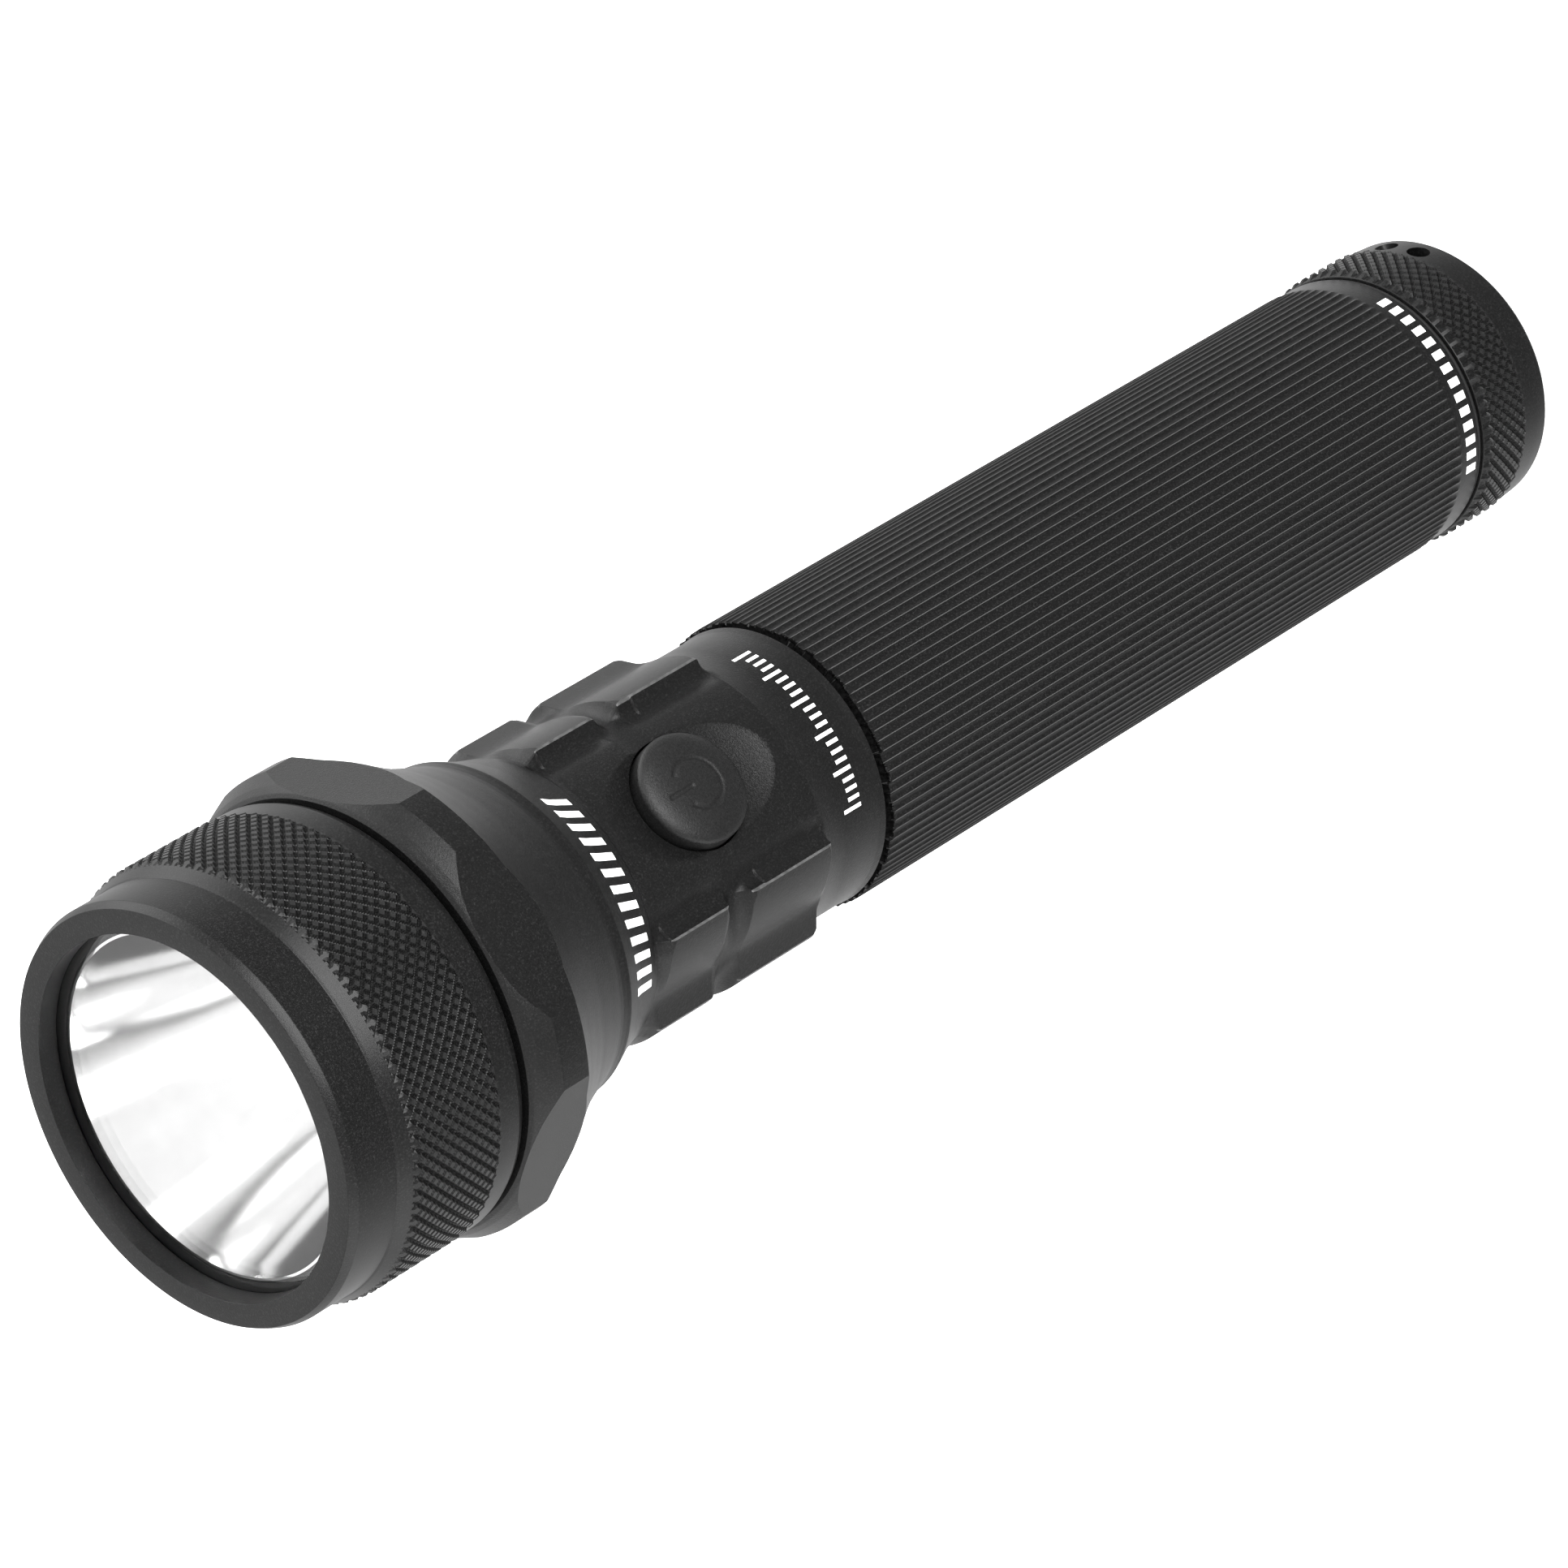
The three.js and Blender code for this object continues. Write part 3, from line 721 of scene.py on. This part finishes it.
def neck_housing():
    """Switch housing, flare, anti-roll ring and both spigots.  Its mesh columns follow the pads at the
    rear and the six flats at the front, and pass from one to the other along the flare."""
    outer = eased(HOUSING_OUTER, ROUNDING, 6.0, closed=False)
    outer = refined(outer, 138, 150.3, 0.8)
    outer = refined(outer, 150.3, 182.6, 0.4)
    outer = with_pad_rows(outer)
    outer = refined(outer, 182.4, 203, 0.8)
    outer = refined(outer, 202.9, 214.1, 0.4)
    path = TUBE_SPIGOT + outer + HEAD_SPIGOT
    first, last = len(TUBE_SPIGOT), len(TUBE_SPIGOT) + len(outer) - 1
    even = angles_of(COLUMNS)
    pads = pad_columns(even)
    narrow, wide = 3.0, 21.0  # half widths of a flat's columns, where no flat cuts the ring

    def flat_half_width(r):
        return max(narrow, math.degrees(math.acos(min(1.0, HEX_FACE / r))))

    def theta(row):
        r, z = path[row]
        if row < first:
            return pads
        if row > last:
            return hex_columns(even, flat_half_width(29.4))
        share = np.interp(z, (189, 198), (0, 1))
        share = share * share * (3 - 2 * share)
        half_width = flat_half_width(r) if r > HEX_FACE else np.interp(z, (197, 204), (wide, narrow))
        six = hex_columns(even, half_width)
        turned = np.where(np.abs(six - pads) > math.pi, six - TURN * np.sign(six - pads), six)
        return pads * (1 - share) + turned * share

    def radius(row, angle):
        r, z = path[row]
        radii = np.full(len(angle), r)
        if row < first or row > last:
            return radii
        if z > 195:
            off = (angle - math.radians(HEX_TURN) + math.pi / 6) % (math.pi / 3) - math.pi / 6
            return np.minimum(radii, HEX_FACE / np.cos(off))
        if 149.8 < z < 183:
            radii = smooth_min(radii + pad_lift(angle, z), dish_radius(angle, z), DISH_FILLET)
        return radii

    shell = revolve("neck_housing_shell", path, COLUMNS, radius, theta, sharp=14)
    bore = cylinder_cutter((0, -30, BUTTON_Z), (0, -8, BUTTON_Z), BUTTON_HOLE_R)
    cut_away(shell, bore, 14)
    return shell


def mark_ridge_wear_and_highlight(shell):
    """Gives the narrow faces along the pads' ridges the paler edge finish: wear with a painted highlight."""
    shell.data.materials.append(ridge_wear_and_highlight)
    for face in shell.data.polygons:
        x, y, z = face.center / MM
        off_button = abs(math.degrees(math.atan2(x, -y)))
        on_ridge = min(abs(off_button - ridge) for ridge in RIDGES) < RIDGE_EDGE * 0.9
        outside = math.hypot(x, y) > SECTION_R + 0.5
        on_pad = any(rear_edge < z < front_edge for _, front_edge, _, _, rear_edge, _ in PAD_ROWS)
        if on_ridge and outside and on_pad:
            face.material_index = 1


housing_shell = dress(neck_housing(), "housing", "anodised_body", body_metal, "neck_housing")
# painted highlight, with wear, along the pads' ridges
mark_ridge_wear_and_highlight(housing_shell)


# ---- threads -----------------------------------------------------------------------------------
def thread(name, core, height, foot, top):
    """Right-hand thread: a trapezoid ridge swept along a helix, with its ends faded into the core."""
    steps = 96  # in each turn
    run_out = steps / 3
    count = int((top - foot) / THREAD_PITCH * steps)
    root = core - 0.2  # buried in the spigot
    half_foot, half_crest = 0.42 * THREAD_PITCH, 0.12 * THREAD_PITCH
    points, faces = [], []
    for k in range(count + 1):
        a = TURN * k / steps
        z = foot + THREAD_PITCH * k / steps
        fade = min(1.0, k / run_out, (count - k) / run_out)
        crest = core + height * max(fade, 0.02)
        for r, dz in ((root, -half_foot), (crest, -half_crest), (crest, half_crest), (root, half_foot)):
            points.append(on_body(np.array(a), r, z + dz).tolist())
    for k in range(count):
        for i in range(4):
            j = (i + 1) % 4
            faces.append((4 * k + i, 4 * (k + 1) + i, 4 * (k + 1) + j, 4 * k + j))
    faces.append((0, 1, 2, 3))
    faces.append(tuple(4 * count + i for i in (3, 2, 1, 0)))
    return make_object(name, points, faces, 25)


head_thread = thread("head_spigot_thread", 25.15, 0.5, 217.4, 231.6)
dress(head_thread, "housing", "anodised_body", cut_metal)


# ---- battery tube ------------------------------------------------------------------------------
RIBS = 90
# share of the rib spacing, and height in rib depths: narrow crests with a hollow flute between
RIB_SHAPE = (
    (0, 0.12), (0.045, 0.02), (0.1, -0.28), (0.18, -0.58), (0.28, -0.82), (0.4, -0.96),
    (0.5, -1), (0.6, -0.96), (0.72, -0.82), (0.82, -0.58), (0.9, -0.28), (0.955, 0.02),
)
RIB_DEPTH = 0.3
RIB_FOOT = 19.6  # height at which the ribs start
RIB_TOP = TUBE_TOP - 0.15
WORN_FROM = 137.2  # height above which the ribs' front ends are worn down
WEAR, WEAR_SCATTER = 0.1, 0.08
TORN_FROM = 137  # height above which they are torn back, by these shares of what stands above it
TEAR, TEAR_SCATTER, FLUTE_TEAR = 0.3, 0.1, 0.25
SPIGOT_R = 17.85
TUBE_BORE = 17.0
TAIL_BAND_R = 19.4


def battery_tube():
    """Ribbed tube, each rib ending in its own ragged burr at the front."""
    crest = high("battery_tube").x
    front = [(crest, z) for z in (60, 100, 120, 132, 136, TORN_FROM, 137.35, 137.6, 137.8)]
    path = [
        (TUBE_BORE, TUBE_FOOT), (18.0, TUBE_FOOT), (SPIGOT_R, TUBE_FOOT + 0.3), (SPIGOT_R, 14.2),
        (SPIGOT_R, 15.4), (19.05, 15.4), (19.3, 15.65), (TAIL_BAND_R, 15.9), (TAIL_BAND_R, 19.35),
        (19.45, 19.6), (crest, 20.2), (crest, 21), (crest, 30),
    ] + front + [(crest - 0.25, RIB_TOP), (18.4, RIB_TOP + 0.05), (18.4, 130.7), (TUBE_BORE, 130.7)]
    fractions = np.array([f for f, _ in RIB_SHAPE])
    relief = np.array([h for _, h in RIB_SHAPE])
    columns = RIBS * len(RIB_SHAPE)
    even = (np.arange(columns) // len(RIB_SHAPE) + np.tile(fractions, RIBS)) * TURN / RIBS
    shape = np.tile(relief, RIBS)
    rng = np.random.default_rng(7)
    ragged = np.repeat(rng.uniform(-1, 1, RIBS), len(RIB_SHAPE))
    burr = rng.uniform(-1, 1, columns)
    rib_rows = [k for k, (r, z) in enumerate(path) if r > crest - 0.3 and z >= 19.35]

    def radius(row, theta):
        r, z = path[row]
        radii = np.full(columns, r)
        if row in rib_rows:
            rear = np.clip((z - RIB_FOOT) / 0.9, 0, 1)
            radii = r + shape * RIB_DEPTH * rear
            if z > WORN_FROM:
                near_end = (z - WORN_FROM) / (RIB_TOP - WORN_FROM)
                radii = radii - near_end * (WEAR + WEAR_SCATTER * ragged + WEAR_SCATTER * burr)
        return radii

    shell = revolve("battery_tube_shell", path, columns, radius, theta=lambda row: even, sharp=24)
    for index, vertex in enumerate(shell.data.vertices):
        row, column = divmod(index, columns)
        r, z = path[row]
        if z > TORN_FROM and r > 19:
            torn = TEAR * (1 + ragged[column]) + TEAR_SCATTER * burr[column] - FLUTE_TEAR * shape[column]
            vertex.co.z -= torn * MM * (z - TORN_FROM)
    return shell


def paint_shade_on_cut_ends(shell):
    """Paints shade on the forward faces of the torn front ends of the ribs, which sit in the deep gap behind
    the switch housing.
    """
    shell.data.materials.append(gap_shade_finish)
    for face in shell.data.polygons:
        faces_forward = face.normal.z > 0.35
        if faces_forward and face.center.z > (TORN_FROM - 0.5) * MM:
            face.material_index = 1


tube_shell = dress(battery_tube(), "housing", "anodised_body", rib_metal, "battery_tube")
# painted shade on the torn rib ends, in the gap behind the switch housing
paint_shade_on_cut_ends(tube_shell)
tube_thread = thread("tail_spigot_thread", SPIGOT_R, 0.42, TUBE_FOOT + 1.0, 14.0)
dress(tube_thread, "housing", "anodised_body", cut_metal)


# ---- tail cap ----------------------------------------------------------------------------------
LANYARD_ANGLES = (39.4, 60.2)  # from the button
LANYARD_Z = 3.5
LANYARD_R = 1.55


def tail_cap():
    """Knurled cup with a plain rim and two drillings for a lanyard, which meet inside the wall."""
    knurl = Knurl(66, 0.535, TAIL_CREST, KNURL_DEPTH, 5.75, 13.6)
    knurl_end = 13.45
    lower = [(0, 0), (12, 0), (18.9, 0), (19.45, 0.7), (19.62, 3.0), (19.7, 5.35), (19.72, 5.65)]
    upper = [(TAIL_CREST, knurl_end), (19.4, TAIL_TOP), (18.6, TAIL_TOP), (18.6, 7), (0, 7)]
    lower = eased(lower, ROUNDING, closed=False)
    upper = eased(upper, ROUNDING, closed=False)
    teeth = [(TAIL_CREST, z) for z in knurl.heights() if z < knurl_end - 0.05]
    shell = knurled_shell("tail_cap_shell", knurl, lower, teeth, upper, extra_rows=1, closed=False)
    meeting = on_body(np.radians(np.array(sum(LANYARD_ANGLES) / 2)), 14.5, LANYARD_Z)
    for angle in LANYARD_ANGLES:
        mouth = on_body(np.radians(np.array(angle)), TAIL_CREST + 2, LANYARD_Z)
        cut_away(shell, cylinder_cutter(tuple(mouth), tuple(meeting), LANYARD_R, 48), 20)
    return shell


dress(tail_cap(), "tail_cap", "anodised_body", tail_metal, "tail_cap")


# ---- seals -------------------------------------------------------------------------------------
def o_ring(name, radius, half, z):
    """Ring of round section, half thick to either side of its own centre line."""
    circle = [(radius + half * math.cos(a), z + half * math.sin(a)) for a in angles_of(20)]
    return revolve(name, circle, 192, sharp=60)


dress(o_ring("face_cap_seal", 25.75, 0.65, 214.0), "housing", "seal_rubber", seal, "face_cap_oring")
dress(o_ring("tail_cap_seal", 18.82, 0.3, 15.0), "housing", "seal_rubber", seal, "tail_cap_oring")


def flat_ring(name, inner, outer, foot, top):
    """Ring of square section with softened corners."""
    path = eased([(inner, foot), (outer, foot), (outer, top), (inner, top)], ROUNDING)
    return revolve(name, path, 192, sharp=30)


dress(
    flat_ring("lens_seal", MIRROR_R + 0.7, 25.6, low("lens_gasket").z, high("lens_gasket").z + 0.5),
    "optics", "seal_rubber", seal, "lens_gasket",
)
dress(
    flat_ring("reflector_seal", 23.7, FLANGE_R, low("reflector_gasket").z, high("reflector_gasket").z + 0.25),
    "optics", "seal_rubber", seal, "reflector_gasket",
)


# ---- lens, reflector and LED -------------------------------------------------------------------
LENS_FRONT = LIP_Z - 0.05
LENS_REAR = LENS_FRONT - (LENS_TOP - LENS_FOOT)


def lens():
    """Window seated against the lip, a fraction ahead of its clearance in the frame."""
    r, bevel, midway = high("lens").x, 0.3, 12
    path = [(0, LENS_REAR), (midway, LENS_REAR), (r - bevel, LENS_REAR), (r, LENS_REAR + bevel)]
    path += [(r, LENS_FRONT - bevel), (r - bevel, LENS_FRONT), (midway, LENS_FRONT), (0, LENS_FRONT)]
    return revolve("lens_disc", path, 192, closed=False, sharp=20)


def reflector():
    """Paraboloid bowl with a thin rim up to the lens and a flange below the lens seal."""
    top = LENS_REAR - 0.05
    flange_top = low("lens_gasket").z - 0.3
    flange_foot = high("reflector_gasket").z + 0.3
    focal = MIRROR_R**2 / (4 * (top - MIRROR_VERTEX))

    def bowl(z):
        return math.sqrt(4 * focal * (z - MIRROR_VERTEX))

    share = np.linspace(0, 1, 64) ** 1.6  # rows closer together at the foot, where the bowl turns most
    inner = [(bowl(z), z) for z in top + (MIRROR_FOOT - top) * (1 - share[::-1])]
    outer = [(bowl(z) + MIRROR_WALL, z) for z in MIRROR_FOOT + (flange_foot - MIRROR_FOOT) * share[::4]]
    flange = [(FLANGE_R, flange_foot), (FLANGE_R, flange_top), (MIRROR_R + 0.5, flange_top)]
    rim = [(MIRROR_R + 0.5, top - 0.12), (MIRROR_R + 0.38, top), (MIRROR_R + 0.05, top)]
    return revolve("reflector_bowl", outer + flange + rim + inner[1:], 240, sharp=30)


dress(lens(), "optics", "lens_glass", window_glass(), "lens")
dress(reflector(), "optics", "reflector_mirror", mirror_coat(), "reflector")


def led_package():
    """Round white substrate, square yellow die and a clear dome, as three pieces."""
    foot, r, bevel, thickness = LED_FOOT, 3.4, 0.1, 0.7
    outline = [
        (0, foot), (r - bevel, foot), (r, foot + bevel), (r, foot + thickness - bevel),
        (r - bevel, foot + thickness), (0, foot + thickness),
    ]
    base = revolve("led_substrate", outline, 64, closed=False)
    half, taper, die_foot, die_top = 1.1, 0.96, foot + 0.72, foot + 0.95
    corners = [(-half, -half), (half, -half), (half, half), (-half, half)]
    points = [(x, y, die_foot) for x, y in corners] + [(x * taper, y * taper, die_top) for x, y in corners]
    faces = [(3, 2, 1, 0), (4, 5, 6, 7), (0, 1, 5, 4), (1, 2, 6, 5), (2, 3, 7, 6), (3, 0, 4, 7)]
    die = make_object("led_die", points, faces, 30)
    dome_foot, dome_r, rise = foot + 0.71, 2.4, 2.38
    arc = np.radians(np.linspace(0, 90, 14))[:-1]
    outline = [(0, dome_foot)] + [(dome_r * math.cos(a), dome_foot + rise * math.sin(a)) for a in arc]
    dome = revolve("led_dome", outline + [(0, dome_foot + rise)], 64, closed=False, sharp=50)
    return base, die, dome


substrate, die, dome = led_package()
dress(substrate, "housing", "white_board", coated("led_ceramic", 0.7, 0.85), "led_emitter")
dress(die, "housing", "led_phosphor", coated("led_phosphor_layer", (0.75, 0.55, 0.04), (0.9, 0.72, 0.08)))
dress(dome, "housing", "led_phosphor", window_glass())


# ---- push button -------------------------------------------------------------------------------
SIGN_RING_R = 3.3
SIGN_OPENING = 38  # half the angle of the ring's gap
SIGN_BAR = (1.2, 4.6)  # how far from the middle the bar starts and ends
SIGN_HALF_LINE = 0.28
SIGN_BEVEL = 0.24
CLEAR = 9.0  # any distance too far off a line to be engraved


def sign_depth(x, y):
    """Share of the engraved on-off sign's depth, an open ring and a bar, at points of the button's face."""
    opening = np.abs(np.degrees(np.arctan2(x, y))) < SIGN_OPENING
    ring = np.where(opening, CLEAR, np.abs(np.hypot(x, y) - SIGN_RING_R))
    bar = np.hypot(x, np.maximum(np.maximum(y - SIGN_BAR[1], SIGN_BAR[0] - y), 0))
    return np.clip((SIGN_HALF_LINE + SIGN_BEVEL / 2 - np.minimum(ring, bar)) / SIGN_BEVEL, 0, 1)


def close_openings(mesh):
    """Fills every open ring of edges with one face."""
    bm = bmesh.new()
    bm.from_mesh(mesh)
    bmesh.ops.holes_fill(bm, edges=[edge for edge in bm.edges if edge.is_boundary])
    bm.to_mesh(mesh)
    bm.free()


def button():
    """Domed boot with a skirt inside the housing: turned upright, engraved, then laid to face -Y."""
    share = np.sin(np.linspace(0.06, math.pi / 2, 60))  # of the button's radius
    crown = [(BUTTON_R * t, BUTTON_CROWN - BUTTON_DOME * (1 - (1 - t**2.5) ** 0.4545)) for t in share]
    skirt_r, skirt_top, shoulder = 8.4, 12.6, 18
    side = [
        (0, BUTTON_FOOT), (skirt_r, BUTTON_FOOT), (skirt_r, skirt_top), (BUTTON_R, skirt_top),
        (BUTTON_R, shoulder),
    ]
    obj = revolve("button_boot", side + crown[::-1], 240, closed=False, sharp=35)
    mesh = obj.data
    close_openings(mesh)
    places = np.empty(len(mesh.vertices) * 3)
    mesh.vertices.foreach_get("co", places)
    x, y, height = (places.reshape(-1, 3) / MM).T
    on_crown = height > BUTTON_CROWN - BUTTON_DOME + 0.05
    height = np.where(on_crown, height - ENGRAVED * sign_depth(x, y), height)
    laid = np.stack([x, -height, BUTTON_Z + y], -1) * MM
    mesh.vertices.foreach_set("co", laid.ravel())
    mesh.update()
    shade(obj, 35)
    return obj


dress(button(), "button", "button_rubber", boot, "button_cap")


# ---- printed marks -----------------------------------------------------------------------------
def housing_radius(z):
    return np.interp(z, [p[1] for p in HOUSING_OUTER], [p[0] for p in HOUSING_OUTER])


def slab_faces(start, steps):
    """Faces of a closed slab whose points are two square grids, the inner one first."""
    def at(i, j, layer):
        return start + (layer * (steps + 1) + j) * (steps + 1) + i

    faces = []
    for j in range(steps):
        for i in range(steps):
            faces.append((at(i, j, 1), at(i + 1, j, 1), at(i + 1, j + 1, 1), at(i, j + 1, 1)))
            faces.append((at(i, j, 0), at(i, j + 1, 0), at(i + 1, j + 1, 0), at(i + 1, j, 0)))
    for i in range(steps):
        faces.append((at(i, 0, 0), at(i + 1, 0, 0), at(i + 1, 0, 1), at(i, 0, 1)))
        faces.append((at(i + 1, steps, 0), at(i, steps, 0), at(i, steps, 1), at(i + 1, steps, 1)))
    for j in range(steps):
        faces.append((at(0, j + 1, 0), at(0, j, 0), at(0, j, 1), at(0, j + 1, 1)))
        faces.append((at(steps, j, 0), at(steps, j + 1, 0), at(steps, j + 1, 1), at(steps, j, 1)))
    return faces


def printed(name, marks, surface):
    """White marks just proud of a turned surface.  Each mark is (angle, width, foot, top, slant)."""
    steps, sunk, proud = 6, -0.06, 0.03
    points, faces = [], []
    for angle, width, foot, top, slant in marks:
        faces += slab_faces(len(points), steps)
        for layer in (sunk, proud):
            for j in range(steps + 1):
                z = foot + (top - foot) * j / steps
                for i in range(steps + 1):
                    a = angle + slant * (j / steps - 0.5) + width * (i / steps - 0.5)
                    points.append(on_body(np.radians(np.array(a)), float(surface(z)) + layer, z).tolist())
    dress(make_object(name, points, faces, 40), "housing", "white_board", print_white)


band_marks = [(angle, 2.9, 183.6, 187.5, 3.0) for angle in np.arange(-53, 20, 6.0)]
neck_marks = [
    (angle, 1.5, 142.6, 145.7 if number % 4 == 0 else 144.6, 0)  # every fourth tick is longer
    for number, angle in enumerate(np.arange(-38, 39, 3.8))
]
tail_marks = [(angle, 3.4, 16.4, 18.4, 0) for angle in np.arange(-53, 28, 6.2)]
printed("band_marks", band_marks, housing_radius)
printed("neck_marks", neck_marks, lambda z: NECK_R)
printed("tail_marks", tail_marks, lambda z: TAIL_BAND_R)

# ---- pieces that stay as the frame has them ----------------------------------------------------
sleeve_dark, sleeve_light = (0.03, 0.06, 0.1), (0.05, 0.09, 0.14)
KEPT = (
    (
        coated("moulded_plastic", 0.02, 0.035),
        "button_plunger", "switch_carrier", "switch_body", "driver_inductor", "contact_insulator",
    ),
    (
        coated("green_laminate", (0.02, 0.1, 0.04), (0.04, 0.16, 0.07), (0.25, 0.4)),
        "switch_board", "driver_board",
    ),
    (coated("white_solder_mask", 0.72, 0.85, (0.3, 0.45)), "led_board"),
    (turned_metal("turned_aluminium", 0.55, 0.72), "heat_sink"),
    (turned_metal("turned_brass", (0.5, 0.34, 0.12), (0.72, 0.52, 0.2)), "front_contact", "spring_plate"),
    (turned_metal("zinc_plate", 0.45, 0.62), "board_screw_1", "board_screw_2"),
    (turned_metal("nickel_wire", 0.5, 0.68), "tail_spring"),
    (coated("red_insulation", (0.35, 0.01, 0.01), (0.5, 0.02, 0.02), (0.3, 0.4)), "positive_wire"),
    (coated("black_insulation", 0.01, 0.02, (0.3, 0.4)), "negative_wire"),
    (coated("cell_sleeve", sleeve_dark, sleeve_light, (0.2, 0.3)), "front_cell"),
    (coated("cell_sleeve_rear", sleeve_dark, sleeve_light, (0.2, 0.3)), "rear_cell"),
)
for material, *nodes in KEPT:
    for node in nodes:
        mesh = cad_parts[node].data
        mesh.materials.clear()
        mesh.materials.append(material)

# ---- floor, light and backdrop -----------------------------------------------------------------
FLOOR_HALF = 4000  # half the table's width
DARK_SIDE = (-0.06, -0.88, -0.47)
SURROUND = ((0.1, 1.0), (0.5, 0.34), (1.0, 0.2))  # brightness against the cosine to the dark side
SURROUND_STRENGTH = 1.3


def floor():
    half = FLOOR_HALF
    points = [(-half, -half, 0), (half, -half, 0), (half, half, 0), (-half, half, 0)]
    obj = make_object("floor", points, [(0, 1, 2, 3)])
    obj.data.materials.append(pale_floor())
    obj.location.z = -FLOOR_DROP * MM
    obj.visible_glossy = False  # the metal reflects the surround, as if the table ended under the torch


def soft_world():
    """White surround with one dark side, low in front of the torch, for its black metal to reflect."""
    world = bpy.data.worlds.new("studio")
    bpy.context.scene.world = world
    world.use_nodes = True
    tree = world.node_tree
    tree.nodes.clear()
    coordinates = tree.nodes.new("ShaderNodeTexCoord")
    towards = tree.nodes.new("ShaderNodeVectorMath")
    towards.operation = "DOT_PRODUCT"
    towards.inputs[1].default_value = Vector(DARK_SIDE).normalized()
    tree.links.new(coordinates.outputs["Generated"], towards.inputs[0])
    ramp = tree.nodes.new("ShaderNodeValToRGB")
    while len(ramp.color_ramp.elements) < len(SURROUND):
        ramp.color_ramp.elements.new(0.5)
    for element, (position, tone) in zip(ramp.color_ramp.elements, SURROUND):
        element.position = position
        element.color = grey(tone)
    tree.links.new(towards.outputs["Value"], ramp.inputs["Fac"])
    background = tree.nodes.new("ShaderNodeBackground")
    background.inputs["Strength"].default_value = SURROUND_STRENGTH
    tree.links.new(ramp.outputs["Color"], background.inputs["Color"])
    output = tree.nodes.new("ShaderNodeOutputWorld")
    tree.links.new(background.outputs["Background"], output.inputs["Surface"])


def softbox(name, place, size, power):
    """Square area light aimed at the middle of the torch; place and size in millimetres."""
    data = bpy.data.lights.new(name, "AREA")
    data.shape = "RECTANGLE"
    data.size, data.size_y = size[0] * MM, size[1] * MM
    data.energy = power
    light = bpy.data.objects.new(name, data)
    bpy.context.scene.collection.objects.link(light)
    spot = Vector(place) * MM
    aim = Vector((0, 0, LENGTH / 2 * MM)) - spot
    turn = aim.to_track_quat("-Z", "Y").to_matrix().to_4x4()
    light.matrix_world = Matrix.Translation(spot) @ turn


floor()
soft_world()
softbox("left_softbox", (1100, 100, 460), (800, 1100), 10)
softbox("right_softbox", (-1100, 200, 400), (800, 1100), 5)
softbox("front_softbox", (60, -880, 430), (950, 340), 15)
softbox("top_softbox", (0, 250, 1400), (1600, 1400), 8)
bpy.context.scene.view_settings.view_transform = "Standard"
